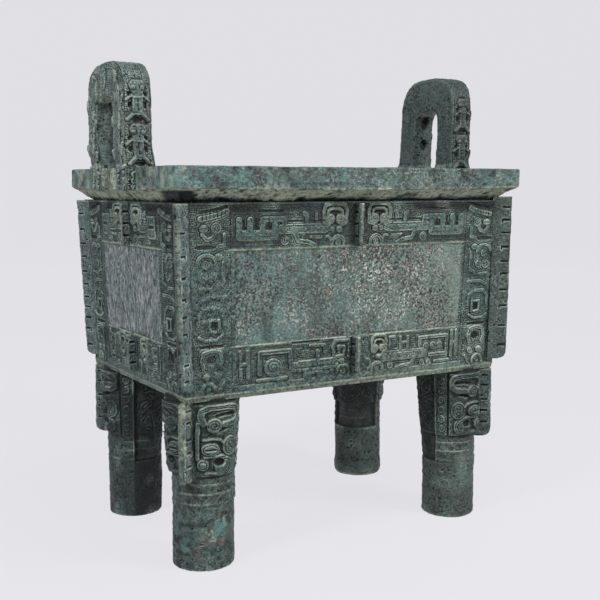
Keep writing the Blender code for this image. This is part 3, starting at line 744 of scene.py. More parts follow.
def make_basin(material):
    inset, top = 0.005, WALL_TOP - 0.0006
    foot_x, foot_y = HALF_X - WALL_TAPER, HALF_Y - WALL_TAPER
    floor_x, floor_y = foot_x - WALL_THICKNESS, foot_y - WALL_THICKNESS
    low = UNDERSIDE + FLOOR_THICKNESS
    mouth = (MOUTH_X, MOUTH_Y, LIP_BOTTOM + 0.012)
    outside = [(foot_x - 0.014, foot_y - 0.014, UNDERSIDE + 0.0005),
               (foot_x - inset, foot_y - inset, UNDERSIDE + 0.012),
               (HALF_X - inset, HALF_Y - inset, top), (NECK_X, NECK_Y, top),
               (NECK_X, NECK_Y, LIP_BOTTOM + 0.004), mouth]
    inside = (between(mouth, (floor_x, floor_y, low), np.linspace(0.06, 1.0, 22))
              + between((floor_x, floor_y, low), (0, 0, low), np.linspace(0.08, 0.98, 12)))
    points = np.stack([outline(x, y, z, 44, 30) for x, y, z in outside + inside])
    bumps = 0.0022 * noise(points, 0.12, 11)
    bumps[:len(outside)] = 0
    points = points + outward(points) * bumps[..., None]
    # the inside is mottled darker; the outside, seen only at the neck under the lip, is painted in shade
    dark = 0.42 + 0.22 * noise(points, 0.14, 76)
    dark[:len(outside)] = 0.9
    return finish_piece(tube("basin", points, marks(0 * bumps, shade=dark)), material)


def lip_profile():
    """Half sizes and height of each ring of the lip: neck, underside, face, top and mouth."""
    edge, top, mouth = (LIP_X, LIP_Y, LIP_EDGE), (LIP_X, LIP_Y, LIP_TOP), (MOUTH_X, MOUTH_Y, LIP_TOP)
    inside = (LIP_TOP - 0.002, LIP_TOP - 0.02, LIP_TOP - 0.05, LIP_BOTTOM + 0.004)
    return ([(NECK_X - 0.012, NECK_Y - 0.012, LIP_BOTTOM - 0.0045), (NECK_X, NECK_Y, LIP_BOTTOM - 0.0045)]
            + between((NECK_X, NECK_Y, LIP_BOTTOM), edge, np.linspace(0, 1, 12)[:-1])
            + [(LIP_X - 0.001, LIP_Y - 0.001, LIP_EDGE), (LIP_X, LIP_Y, LIP_EDGE + 0.001)]
            + between(edge, top, np.linspace(0.05, 0.95, 18))
            + [(LIP_X - 0.0015, LIP_Y - 0.0015, LIP_TOP - 0.001)]
            + between(top, mouth, np.linspace(0.05, 0.95, 9))
            + [(MOUTH_X, MOUTH_Y, z) for z in inside]
            + [(MOUTH_X + 0.01, MOUTH_Y + 0.01, LIP_BOTTOM)])


def make_lip(material):
    profile = lip_profile()
    points = np.stack([outline(x, y, z, 220, 158) for x, y, z in profile])
    level = np.arange(len(profile))[:, None]
    around = points[MID_FACE][None]
    x, y, z = around[..., 0], around[..., 1], points[..., 2]
    long_side = np.abs(np.abs(y) - LIP_Y) < 1e-6
    bow = LIP_BOW * (1 - np.where(long_side, x / LIP_X, y / LIP_Y) ** 2)
    hang = (np.clip((level - UNDER_RING) / (FACE_RING - UNDER_RING), 0, 1)
            * np.clip(1 - (z - LIP_EDGE) / (LIP_TOP - LIP_EDGE), 0, 1))
    z -= bow * hang * (level < TOP_RING)
    # where the casting ran down, the underside hangs to the wall and leaves dark gaps beside it
    runs = past(x, -0.33, 0.008) * past(x, -0.195, -0.02) + 0.6 * past(x, 0.02, 0.03) * past(x, 0.15, -0.03)
    drip = np.where(long_side & (y < 0), runs, 0.6 * patches(around, 0.1, 21, 1.6, 0.5))
    drip = drip + 0.45 * np.clip(1 - drip, 0, 1)
    sag = 0.0095 * (drip + 0.35 * noise(around, 0.022, 22)) * past(level, 9, -6)
    z -= (sag + 0.006 * past(x, -0.51, -0.02) * past(level, 11, -8)) * (level >= UNDER_RING)
    under = (level >= UNDER_RING) & (level < FACE_RING)
    face = (level >= FACE_RING) & (level < TOP_RING)
    edge = np.exp(-((level - FACE_RING - 0.5) / 1.6) ** 2)
    lumps = 0.0013 * rough(points, 0.045, 2, 8) + 0.0007 * rough(points, 0.01, 2, 24) * (face | under)
    chips = 0.006 * pitting(points, 0.013, 9, 0.42, 1) * edge
    holes = 0.011 * pitting(points, 0.007, 10, 0.8) * face
    pits = 0.009 * pitting(points, 0.008, 25, 0.45) * under
    bumps = np.where(level < MOUTH_RING, lumps - chips - holes - pits - 0.001, 0.3 * lumps)
    bumps[:UNDER_RING], bumps[-4:] = 0, 0
    points = points + outward(points) * bumps[..., None]
    points[..., 2] = np.minimum(points[..., 2], LIP_TOP)
    from_corner = np.hypot((x + LIP_X) / 0.05, (y + LIP_Y) / 0.125)
    near_corner = past(from_corner, 1.15, -0.5) * past(level, 11.5, -2)
    # painted shade in the gap at the neck and under the lip at the near corner; darker patches on the
    # underside and a mottle on the face
    shade = 0.95 * past(level, 3.6, -2) + 0.98 * near_corner
    shade = shade + 0.8 * under * patches(points, 0.018, 46, 2.8, -0.8)
    shade = shade + 0.36 * face * patches(points, 0.05, 65, 2)
    shade = shade + 0.48 * face * patches(points, 0.013, 75, 2.4, -0.5)
    short_end = np.abs(np.abs(x) - LIP_X) < 1e-6
    recess = past(x, -0.54, -0.005) * past(np.abs(y), 0.056, -0.006)
    # the underside and its lower edge are paler, painted light from below; a pale recess under the left ear
    # and pale patches on the face
    pale = (under * past(level, 3, 3) * (1.05 + 0.6 * noise(points, 0.03, 26))
            + 0.75 * edge * patches(points, 0.03, 27, 1, 0.6)) * (1 - near_corner)
    pale = pale + face * (0.95 * recess
                          + 0.55 * patches(points, 0.05, 47, 1.5, -0.2) * patches(points, 0.011, 48, 2, 0.1)
                          + 0.45 * short_end * patches(points * (1, 1, 0.5), 0.02, 74, 2, 0.6))
    at_corner = hump(np.hypot(x + LIP_X, y + LIP_Y), 0.0, 0.04) * patches(points, 0.014, 72, 2, 0.6)
    teal = face * (0.42 * patches(points, 0.06, 49, 1.6, 0.2) + 0.6 * at_corner)
    tones = marks(bumps, 0.4 * face, shade, pale, far=3, teal=teal)
    return finish_piece(tube("lip", points, tones, closed=True), material)


# Flanges

def make_flange(name, material, origin, direction, thickness, span, rise, slits, pitch, slope=0.024,
                lean=0.0, border=0.005, rim=0.0, junction=0.0, aside=0.0,
                darkening=0.0, left_flank_shade=0.0, gleam=0.35, cream=0.0):
    """An upright wedge, thick at its root, with level slits in both flanks; every other slit has a hook.

    span runs from its root out to its edge, and rise from its foot up to its top.
    """
    (root, reach), (foot, top), (at_root, at_edge) = span, rise, thickness
    along = steps(root, reach, pitch * 1.2)
    half = (at_root + (at_edge - at_root) * (along - root) / (reach - root)) / 2
    side = np.stack([along, -half], axis=1)
    count = max(4, int(at_edge / (pitch * 1.2)))
    nose = np.stack([np.full(count, reach), np.linspace(-at_edge / 2, at_edge / 2, count + 2)[1:-1]], axis=1)
    ring = np.concatenate([side, nose, side[::-1] * (1, -1)])
    flank = np.concatenate([np.ones(len(side)), np.zeros(count), np.ones(len(side))])[None]
    z = steps(foot, top, pitch)
    a = np.broadcast_to(ring[:, 0], (len(z), len(ring)))
    zz = np.broadcast_to(z[:, None], a.shape)
    near_end = np.clip((a - (reach - 0.005)) / 0.005, 0, 1)
    across = ring[:, 1][None]
    c = across * (1 - 0.18 * near_end ** 2) - aside * np.clip(1.1 - (a - root) / (reach - root), 0, 1)
    outer = reach - border
    inner = outer - 0.024
    cut = np.zeros(a.shape)
    for k, middle in enumerate(slits):
        mark = past(a, inner, 0.003) * past(a, outer, -0.003)
        mark = mark * soft_step(np.abs(zz - middle), 0.0026, -0.0016)
        if k % 2:
            stem = soft_step(np.abs(a - inner - 0.003), 0.0022, -0.0016)
            mark = np.maximum(mark, stem * soft_step(np.abs(zz - middle + 0.004), 0.0042, -0.002))
        cut = np.maximum(cut, mark * flank)
    climb = np.clip((zz - foot) / slope, 0, 1)
    a = np.minimum(a, reach - (1 - np.sqrt(1 - (1 - climb) ** 2)) * slope * 0.9)
    out_x, out_y = np.array(direction) / np.linalg.norm(direction)
    place = a - lean * (top - zz)
    points = np.stack([origin[0] + place * out_x - c * out_y,
                       origin[1] + place * out_y + c * out_x, zz], axis=-1)
    raised = rim * flank * hump(a, reach - 0.004, 0.006)
    wear = 0.0008 * rough(points, 0.03, 2, 12) + 0.0009 * rough(points, 0.009, 2, 13)
    pits = 0.008 * pitting(points, 0.007, 30, 0.62)
    chips = 0.008 * pitting(points, 0.014, 31, 0.45, 1) * near_end
    move = wear + raised - pits - chips - 0.006 * cut - 0.0008
    points = points + outward(points) * move[..., None]
    # a dark joint at the root; painted shade in the slits, on the left flank and beside the nose on the left;
    # a patchy darkening over the whole
    seam = 0.7 * flank * hump(a, junction, 0.005) * patches(points, 0.04, 33, 1, 0.7)
    darkened = darkening * (0.75 + 0.5 * patches(points * (1, 1, 0.3), 0.02, 67, 1.5, 0.5))
    dark = 0.6 * cut + seam * (1 - 0.7 * (darkening > 0)) + darkened + left_flank_shade * (across < -0.002)
    dark = dark + 0.75 * (across < 0) * hump(a, reach - 0.0025, 0.003) * patches(points, 0.05, 50, 1, 0.6)
    # painted highlights along the nose, on the top and at the slits' rims; cream streaks with rust below
    light = gleam * hump(a, reach - 0.001, 0.0035) * patches(points, 0.05, 32, 1, 0.7)
    light = light + 0.7 * hump(zz, top, 0.007)
    light = light + 0.6 * hump(cut, 0.35, 0.25) * patches(points, 0.02, 37, 1, 0.4)
    streaks = points * (1, 1, 0.4)
    light = light + cream * patches(streaks, 0.012, 51, 1.6, 0.3)
    rust = (cream > 0) * patches(streaks, 0.014, 52, 2, -0.1)
    tones = marks(move - 0.0015 * cut, 0.3, dark, light, far=3, rust=rust)
    return finish_piece(tube(name, points, tones), material)


def make_flanges(material):
    """The four corner flanges, the four on the legs below them, and the short ones in the walls' bands."""
    levels = {"front_left": (0.877, 0.82, 0.766, 0.713, 0.669, 0.626, 0.549, 0.508),
              "back_left": (0.909, 0.861, 0.818, 0.778, 0.733, 0.693, 0.655, 0.624, 0.591, 0.557, 0.508)}
    plain_levels = (0.93, 0.893, 0.855, 0.813, 0.77, 0.733, 0.685, 0.638, 0.578, 0.52)
    corner_looks = {"front_left": {"left_flank_shade": 0.36, "aside": 0.006}, "back_left": {"border": 0.002},
                    "front_right": {"lean": 0.45 * CORNER_LEAN, "darkening": 0.34, "gleam": 0.9}}
    leg_looks = {"front_left": {"darkening": 0.0, "cream": 0.45}, "front_right": {"darkening": 0.35}}
    for name, (sx, sy) in CORNERS.items():
        pitch = 0.004 if name == "back_right" else 0.0023
        root = FLANGE_ROOT - (0.006 if name == "front_left" else 0)
        top = WALL_TOP + (0.01 if name == "front_right" else -0.002)
        look = {"lean": CORNER_LEAN, "border": 0.003, "rim": 0.0008, "junction": -0.023, "left_flank_shade": 0.12}
        make_flange(f"corner_flange_{name}", material, (sx * HALF_X, sy * HALF_Y), (sx, sy), FLANGE_THICKNESS,
                    (root, FLANGE_REACH), (UNDERSIDE + 0.031, top), levels.get(name, plain_levels), pitch,
                    **{**look, **corner_looks.get(name, {})})
        turned = (-cos(radians(39)), -sin(radians(39))) if name == "front_left" else (sx, sy)
        look = {"border": 0.009, "rim": 0.0016, "junction": 0.094, "darkening": 0.3}
        make_flange(f"leg_flange_{name}", material, (sx * LEG_X, sy * LEG_Y), turned, LEG_FLANGE_THICKNESS,
                    (LEG_FLANGE_ROOT, LEG_FLANGE_REACH), (MASK_FOOT - 0.012, UNDERSIDE - 0.003),
                    (0.425, 0.395, 0.352, 0.318, 0.283), pitch, **{**look, **leg_looks.get(name, {})})
    for side, outwards in (("front", (0, -1)), ("back", (0, 1)), ("left", (-1, 0)), ("right", (1, 0))):
        for label, (low, high) in (("lower", LOWER_BAND), ("upper", UPPER_BAND)):
            start = wall_point(side, np.zeros(1), np.full(1, high), np.zeros(1))[0]
            slits = [UNDERSIDE + low + (high - low) * t for t in (0.8, 0.52, 0.24)]
            make_flange(f"{side}_{label}_flange", material, start[:2], outwards, (0.02, 0.017),
                        (-0.006, 0.022), (UNDERSIDE + low, UNDERSIDE + high), slits, 0.0026, slope=0.012,
                        lean=WALL_TAPER / BODY_HEIGHT, left_flank_shade=0.55)


# Legs

def leg_mask(r, k):
    """Half of a leg's mask, in places (degrees from the flange, height), at k metres a degree."""
    r.place = lambda degrees, z: (1000 * k * degrees, z)
    horn = [(20, 392), (16, 408), (18, 424), (30, 432.5), (60, 432.5), (75, 427), (79, 414), (78, 397),
            (70, 389), (54, 387)]
    r.band(horn, 17, 7.5)
    for shift in (-2.8, 2.8):
        r.line([(a, z + shift) for a, z in horn[2:7]], 2.2, 3)
    r.line([(42, 409), (56, 412), (72, 411)], 8, 6)
    r.curl(37, 385, 19.5, 1.9, 200, -1, 8.5)
    r.line([(47, 370), (60, 376)], 8.5, 8)
    r.dome(66, 328, 22, 26.5, 7, 5)
    r.ring(66, 328, 16.5, 20.5, 0, 360, 2.6, 3, count=18)
    for z in (336, 319):
        r.ring(66, z, 6, 6, 0, 360, 2.4, 3.4, count=10)
    r.band([(20, 348), (34, 350), (48, 346), (54, 336)], 7, 7)
    r.dome(31, 324, 23.5, 17.5, 14, 5)
    r.ring(31, 324, 18, 12.5, 0, 360, 2.4, 3, count=16)
    r.line([(24, 324), (38, 324)], 4.4, 6)
    r.band([(10, 300), (10, 350), (12, 390)], 11, 7)
    r.dome(19, 284, 15.5, 15, 13, 4)
    r.ring(19, 284, 9.5, 9.5, 0, 360, 2.6, 3.4, count=12)
    r.band([(22, 303), (50, 306), (62, 298)], 7, 7)
    r.dome(56, 278, 29, 25, 6, 4)
    for radius in (23.5, 17.5):
        r.ring(56, 279, radius, radius, 100, -80, 2.4, 2.6, count=12)
    r.pit(47, 288, 15, 10, 13)
    r.curl(57, 274, 8.5, 1.2, 0, 1, 9)
    r.band([(24, 260), (52, 257)], 8, 5.5)
    r.line([(85, 250), (85, 445)], 5, 8)
    for j, z in enumerate((272, 301, 330, 359, 388, 417)):
        r.curl(98, z, 11, 1.4, 90 * j, 1 - 2 * (j % 2), 3.6)


def drawn_mask(apart, z, pitch, k):
    """The mask's heights and cut lines round a leg, mirrored about the flange."""
    half = steps(0, 120 * k, pitch * 0.9)
    r = Relief(half, z, 9, 1.8)
    leg_mask(r, k)
    # the cut lines come back as their painted shade
    return [np.stack([np.interp(apart * k, half, row) for row in grid]) for grid in (r.finish(), r.dark)]


def make_leg(name, material):
    sx, sy = CORNERS[name]
    near, far_left = name == "front_left", name == "back_left"
    pitch = LEG_PITCH[name]
    radius = sum(MASK_RADIUS) / 2
    k = radius * pi / 180
    count = int(pi * radius / pitch) * 2
    angle = np.arange(count) * 2 * pi / count
    toward = atan2(sy, sx)
    z = steps(0, UNDERSIDE + 0.006, pitch)
    zz = z[:, None]
    # degrees from the flange, and 1 on its left as seen from outside
    apart = np.abs((angle - toward + pi) % (2 * pi) - pi)[None] * 180 / pi
    left_of = smooth(np.sin(angle[None] - toward) * -8 + 0.5)

    def stand(h):
        """Places at distances h from the leg's axis."""
        return np.stack([sx * LEG_X + h * np.cos(angle), sy * LEG_Y + h * np.sin(angle), zz + 0 * h], axis=-1)

    drawn, cuts = drawn_mask(apart[0], z, pitch, k)
    share = np.clip((zz - MASK_FOOT) / (UNDERSIDE - MASK_FOOT), 0, 1)
    thick = past(zz, MASK_FOOT - 0.005, 0.006)
    gap = past(zz, LEG_JOINT, 0.003)
    base = LEG_RADIUS + (MASK_RADIUS[0] + (MASK_RADIUS[1] - MASK_RADIUS[0]) * share - LEG_RADIUS) * thick
    # the inner side stands back, widens towards the floor it carries, and has carved scrolls
    climb = np.clip((zz - INNER_FOOT) / (UNDERSIDE - INNER_FOOT), 0, 1)
    inward = past(apart, 112, 3) * past(zz, INNER_FOOT, 0.004)
    back = base - 0.0085 - 0.008 * climb
    recess = back + (LEG_RADIUS + 0.0273 * climb - 0.001 - back) * past(apart, 113, 67)
    swirl = scrolls((180 - apart) * k + 0.01 * np.sin(zz * 60), zz + 0.006 * np.sin(apart * 0.25),
                    0.052, 0.013)
    carved = 0.003 * swirl * past(zz, 0.25, 0.01)
    rings = sum(RING_PROUD * past(np.abs(zz - level), 0.0048, -0.0018) for level in RINGS)
    arris = 0.0028 * hump(apart, 111, 2.5) * past(zz, INNER_FOOT, 0.01)
    foot = 0.003 * np.clip(1 - zz / 0.005, 0, 1) ** 2
    h = base + (drawn - 0.002 * past(apart, 84, 2)) * thick * (1 - gap) + rings + arris
    h = h * (1 - inward) + (recess - carved) * inward - 0.007 * gap - foot
    place = stand(h)
    pits = 0.007 * pitting(place, 0.008, 16, 0.62)
    h = h + 0.0011 * rough(place, 0.011, 2, 14) + 0.0015 * rough(place, 0.07, 2, 15) - pits
    shaft = 1 - thick
    if near:
        fuller = 0.0015 + 0.0052 * np.clip(np.cos(angle[None] - radians(149)), 0, 1) - 0.001 * left_of
        bulge = (0.0055 * hump(apart, 66, 44) * thick + 0.006 * hump(apart, 60, 50) * gap
                 + 0.0075 * hump(apart, 72, 22) * hump(zz, 0.362, 0.026))
        h = h + fuller * shaft + left_of * bulge
    if far_left:
        h = h + 0.0022 * shaft
    if name == "back_right":
        h = h + 0.003 * past(zz, 0.055, -0.02) * past(zz, 0, 0.02)
    place = stand(h)
    # each leg is darker in patches, the far left one most
    darkening = {"front_left": 0.14, "front_right": 0.5, "back_left": 0.8, "back_right": 0.48}[name]
    shade = darkening * patches(place, 0.05, 35, 1.2, 1.0)
    if far_left:
        # the inner side is painted darker as shade and the outer lighter; the mask's top beside the flange is
        # left lighter, a painted lit face
        shade = shade + 0.13 * (2 * past(apart, 110, 4) - 1) * shaft
        shade = shade * (1 - 0.7 * past(zz, 0.37, 0.02) * past(apart, 74, -10))
    if near:
        # painted shadow on the near leg's left side, and a dark mottle on its shaft
        shade = shade + left_of * (0.45 * thick + 0.22 * shaft)
        shade = shade + 0.46 * shaft * patches(place, 0.013, 73, 2.4, -0.3)
    # painted shade on the recessed inner side, in the gap under the body and in the mask's cut lines
    shade = shade * (1 - inward) + (0.74 + 0.2 * patches(place, 0.02, 53, 2)) * inward + 0.97 * gap
    shade = shade + 0.85 * cuts * thick
    flow = np.gradient(h, z, axis=0)
    # painted highlights on the mask's up-facing edges, along the rings' tops and on the arris; paler along
    # the foot
    top_edges = np.clip(-flow * 1.3 - 0.2, 0, 1) * thick
    arcs = sum(hump(zz, level + 0.003, 0.0026) for level in RINGS) * patches(place, 0.05, 38, 3, 0.2)
    light = 0.22 * top_edges + 0.85 * arcs + 0.4 * hump(apart, 111, 1.6) * (zz > INNER_FOOT + 0.004)
    light = light + 0.55 * hump(zz, 0.002, 0.007) * patches(place, 0.01, 54, 2, 0.4)
    teal, rust = 0.0, 0.35 * shaft * patches(place, 0.02, 55, 2, -0.2)
    if near:
        # a turquoise spot with a pale rim over a rusty one, and a turquoise streak round on the left
        turn = (angle[None] * 180 / pi + 180) % 360 - 180
        spot = np.hypot((turn + 85) / 11, (zz - 0.116) / 0.024) + 0.9 * rough(place, 0.016, 2, 56)
        streak = past(turn, -135, -15) * past(zz, 0.03, 0.03) * past(zz, 0.16, -0.02)
        teal = past(spot, 1.05, -1 / 3) + 0.7 * streak * patches(place, 0.03, 57, 2, 0.3)
        beside = smooth(1.2 - np.hypot((turn + 100) / 34, (zz - 0.1) / 0.04))
        light = light + 0.6 * hump(spot, 1.08, 0.3) * patches(place, 0.009, 66, 2, 0.5)
        light = light + 0.45 * patches(place, 0.008, 58, 2.4, -0.5) * beside
        below = past(np.hypot((turn + 92) / 34, (zz - 0.086) / 0.026), 1.2, -0.5)
        rust = rust + below * patches(place, 0.01, 59, 2, 0.8)
    tones = marks(h, 0.35 * shaft, shade, light, level=levelness(flow, 0.35) * (0.8 if near else 1.0),
                  teal=teal, rust=rust)
    return finish_piece(tube(f"leg_{name}", place, tones), material)


# Ears

def superarch(half, spring, top, power, t):
    """Points of a squarish arch, t running 0..1 from its left spring to its right one."""
    c = -np.cos(pi * t)
    s = np.sqrt(np.clip(1 - c * c, 0, 1))
    return half * np.sign(c) * np.abs(c) ** (2 / power), spring + (top - spring) * s ** (2 / power)


def arch_path(half, spring, top, foot, count):
    """Evenly spaced points up one side, over the arch and down the other."""
    u, v = superarch(half, spring, top, EAR_POWER, np.linspace(0, 1, 400))
    u, v = np.concatenate([[-half], u, [half]]), np.concatenate([[foot], v, [foot]])
    run = np.concatenate([[0], np.cumsum(np.hypot(np.diff(u), np.diff(v)))])
    want = np.linspace(0, run[-1], count)
    return np.interp(want, run, u), np.interp(want, run, v), run[-1]


def beast(r, length):
    """The outer face of an ear: a beast climbing each post, head to head over the opening.

    In its places (s, t), s runs along the arch from one foot, and t from the opening's edge (0) out
    to the arch's edge (1).
    """
    for flip in (False, True):
        r.place = lambda s, t: (length - s if flip else s, 1000 * EAR_POST * t)
        r.band([(78, 0.52), (150, 0.5), (215, 0.56), (285, 0.52), (340, 0.5)], 40, 4)
        for j, s in enumerate((92, 122, 152, 182, 212, 242, 272)):
            r.dome(s, 0.4 + 0.24 * (j % 2), 12, 11, 5.6, 3)
            r.line([(s + 15, 0.3), (s + 18, 0.74)], 2.8, 2.6)
        for s in (108, 232):
            r.band([(s, 0.3), (s + 14, 0.14), (s + 40, 0.1)], 12, 4.4)
            r.band([(s - 6, 0.8), (s + 14, 0.93)], 12, 4.4)
        r.dome(345, 0.5, 28, 30, 6.2, 3)
        r.dome(350, 0.64, 7, 7, 8, 3)
        r.line([(362, 0.3), (374, 0.48)], 4, 4.4)
        r.dome(length / 2 - 8.5, 0.62, 5.2, 5.2, 7.8, 3)
        # stacked curls where the post runs down over the lip's face
        for j, s in enumerate((10, 28, 46)):
            for t in (0.27, 0.73):
                r.curl(s, t, 10, 1.2, 90 * j, 1, 5)
        r.band([(64, 0.12), (64, 0.88)], 11, 5.6)
    r.dome(length / 2, 0.5, 20, 28, 5.8, 2)
    r.line([(length / 2 - 9, 0.36), (length / 2 + 9, 0.36)], 3.6, 3.6)


def fish_mask(r):
    """A fish-like mask; its places are (up from its tail, across from its middle)."""
    r.band([(30, 0), (88, 0)], 26, 4.8)
    r.dome(92, 0, 20, 20, 5.8, 3.4)
    r.pit(112, 0, 5, 14, 2.6)
    for side in (-1, 1):
        r.dome(88, side * 11.5, 6.6, 6.4, 8.4, 4)
        r.ring(88, side * 11.5, 7.8, 7.8, 0, 360, 2.2, 3, count=10)
        r.pit(72, side * 19.5, 6.6, 5.2, 5.6)
        r.pit(44, side * 18.5, 9, 5, 5)
        r.band([(26, side * 6), (6, side * 25)], 9.5, 5.8)
        r.band([(68, side * 15), (56, side * 28)], 6.5, 4.8)
        r.line([(16, side * 31), (100, side * 31)], 2.6, 3)
    r.band([(64, -10), (64, 10)], 5, 6.4)
    r.line([(30, 0), (58, 0)], 3, 3)
    r.pit(6, 0, 7, 13, 6)


def flank_masks(r, length):
    """The side of an ear: two fish-like masks up each post, over small curls at its foot."""
    def at(low, flip):
        return lambda up, across: (length - low - up if flip else low + up, 500 * EAR_THICKNESS + across)

    for flip in (False, True):
        for low in (62, 176):
            r.place = at(low, flip)
            fish_mask(r)
        r.place = at(0, flip)
        for j, s in enumerate((8, 24, 40)):
            for side in (-1, 1):
                r.curl(s, side * 16, 8.5, 1.2, 90 * j, side, 5)


def make_ear(name, material):
    left, right = name == "left", name == "right"
    end = -1 if left else 1
    pitch = EAR_PITCH[name]
    foot = LIP_EDGE - LIP_TOP - LIP_BOW
    half = EAR_HALF - 0.0025
    top, out, taper = (EAR_HEIGHT - 0.0065, 0.007, 0.0) if left else (EAR_HEIGHT + 0.0085, 0.012, 0.03)
    spring, hole_top = EAR_HEIGHT - EAR_RISE, EAR_HEIGHT - EAR_CROWN
    length = arch_path(half, spring, top, foot, 9)[2]
    count = int(length / pitch)
    outer_u, outer_v, _ = arch_path(half, spring, top, foot, count)
    hole_u, hole_v, _ = arch_path(EAR_HALF - EAR_POST, hole_top - 0.06, hole_top, foot, count)
    s = np.linspace(0, length, count)
    face_v, side_v = steps(0, EAR_POST, pitch), steps(0, EAR_THICKNESS, pitch)
    # the cross-section runs over the outer face, the side, the inner face and the opening
    on_face, on_side, inner, opening = len(face_v) - 2, len(side_v) - 2, 22, 18
    t = np.concatenate([face_v[1:-1] / EAR_POST, np.ones(on_side), np.linspace(1, 0, inner + 2)[1:-1],
                        np.zeros(opening)])
    depth = np.concatenate([np.zeros(on_face), side_v[1:-1], np.full(inner, EAR_THICKNESS),
                            np.linspace(1, 0, opening + 2)[1:-1] * EAR_THICKNESS])
    heights, cuts = [], []
    for across, echo, draw in ((face_v, 7, beast), (side_v, 6, flank_masks)):
        r = Relief(s, across, echo)
        draw(r, 1000 * length)
        heights.append(r.finish().T[:, 1:-1])
        cuts.append(r.dark.T[:, 1:-1])
    flat = np.zeros((count, inner + opening))
    h, dark = np.concatenate(heights + [flat], axis=1), np.concatenate(cuts + [flat], axis=1)
    v = hole_v[:, None] + (outer_v - hole_v)[:, None] * t
    up = np.clip(v / EAR_HEIGHT, 0, 1)
    u = (hole_u[:, None] + (outer_u - hole_u)[:, None] * t) * (1 - taper * up)
    widen = 1 + 0.05 * np.clip(1 - v / EAR_HEIGHT, 0, 1) + 0.1 * left
    lean = np.clip(v / 0.05, 0, 1) if left else up
    points = np.stack([end * (EAR_FACE + out * lean - depth * widen), u, LIP_TOP + v], axis=-1)
    # relief fades towards the four arrises, and the inner face is smoother
    fades = []
    for n, grain in ((on_face, pitch), (on_side, pitch), (inner, EAR_POST / inner),
                     (opening, EAR_THICKNESS / opening)):
        where = np.arange(n)
        fades.append(np.clip((np.minimum(where, n - 1 - where) + 1) * grain / 0.007, 0, 1))
    fade = np.concatenate(fades)
    grainy = np.ones(len(t))
    grainy[-inner - opening:-opening] = 0.25
    normals = outward(points)
    if np.mean(normals[:, 5, 0]) * end < 0:
        normals = -normals
    pits = 0.008 * pitting(points, 0.009, 34, 0.55) * grainy
    bumps = 0.001 * rough(points, 0.012, 2, 18) + 0.0012 * rough(points, 0.05, 2, 19) - pits
    move = h * (0.3 + 0.7 * fade) + bumps - 0.003 * (1 - fade) ** 2
    if right:
        move = move + 0.005 * past(v, 0.022, -0.012) * (0.6 + noise(points, 0.02, 70))
    points = points + normals * move[..., None]
    # painted shade in the opening, on the left ear growing towards its far side
    within = np.zeros(h.shape)
    within[:, -opening:] = 0.15 + 0.75 * left * past(depth[-opening:] / EAR_THICKNESS, 0.25, 0.35)
    below = past(v, 0, -0.004) * (within > 0)
    within = within * (1 - below)
    if right:
        # two oval holes in the far post's inner side, painted black as shade
        for low, tall in ((0.155, 0.02), (0.084, 0.017)):
            oval = smooth(5.5 - 5 * np.hypot((depth[None] - 0.034) / 0.0125, (v - low) / tall)) * (u > 0)
            oval[:, :-opening] = 0
            points[..., 1] += 0.014 * oval
            within = np.maximum(within, oval)
    rise = np.gradient(h, pitch, axis=0)
    first_post = (s < length / 2)[:, None]
    down = np.clip(np.where(first_post, -rise, rise) * 1.2 - 0.2, 0, 1)
    under_arch = past(v, hole_top - 0.018, 0.01) * (within > 0)
    foot_lumps = past(v, 0.02, -0.01) * past(v, 0, 0.002) * right
    on_flank = np.zeros(h.shape)
    on_flank[:, on_face:-inner - opening] = 1
    # painted shade in the opening, the holes and the cut lines; the right ear darker, most on its flank
    shade = within * (1 - under_arch) + (0.12 * on_flank if left else 0.3 + 0.36 * on_flank) + 0.55 * dark
    # painted highlights on relief edges that face up; a pale underside to the arch and a pale foot to the
    # opening
    light = 0.4 * down + 1.0 * under_arch + 0.6 * below
    light = light + 0.3 * left * (1 - 0.7 * on_flank) * patches(points, 0.02, 60, 2)
    light = light + 0.6 * foot_lumps * patches(points, 0.012, 68, 2, 0.3)
    light = light + 0.5 * (t > 0) * (depth == 0) * hump(v, 0.003, 0.007)
    arris = np.abs(np.arange(len(t)) - on_face - on_side) < 2
    light = light + 0.35 * arris * patches(points, 0.06, 69, 1, 0.6)
    tones = marks(move, 0.25, shade, light, level=levelness(rise, 0.4))
    if left:
        points, tones = points[:, ::-1], {key: a[:, ::-1] for key, a in tones.items()}
    return finish_piece(tube(f"{name}_ear", points, tones), material)


# Materials

def node(tree, kind, inputs=None, **values):
    made = tree.nodes.new(kind)
    for key, value in values.items():
        setattr(made, key, value)
    for key, value in (inputs or {}).items():
        if isinstance(value, bpy.types.NodeSocket):
            tree.links.new(value, made.inputs[key])
        else:
            made.inputs[key].default_value = value
    return made


def mix(tree, share, low, high):
    """A blend of two colours; each is a plain colour or another node's result."""
    low, high = (c if isinstance(c, bpy.types.NodeSocket) else (*c, 1.0) for c in (low, high))
    return node(tree, "ShaderNodeMix", {0: share, 6: low, 7: high}, data_type="RGBA").outputs[2]


def ramp(tree, value, low, high, to_low=0.0, to_high=1.0):
    made = node(tree, "ShaderNodeMapRange", {"Value": value, "From Min": low, "From Max": high,
                                             "To Min": to_low, "To Max": to_high}, clamp=True)
    return made.outputs["Result"]


def maths(tree, operation, a, b=0.0):
    return node(tree, "ShaderNodeMath", {0: a, 1: b}, operation=operation).outputs[0]


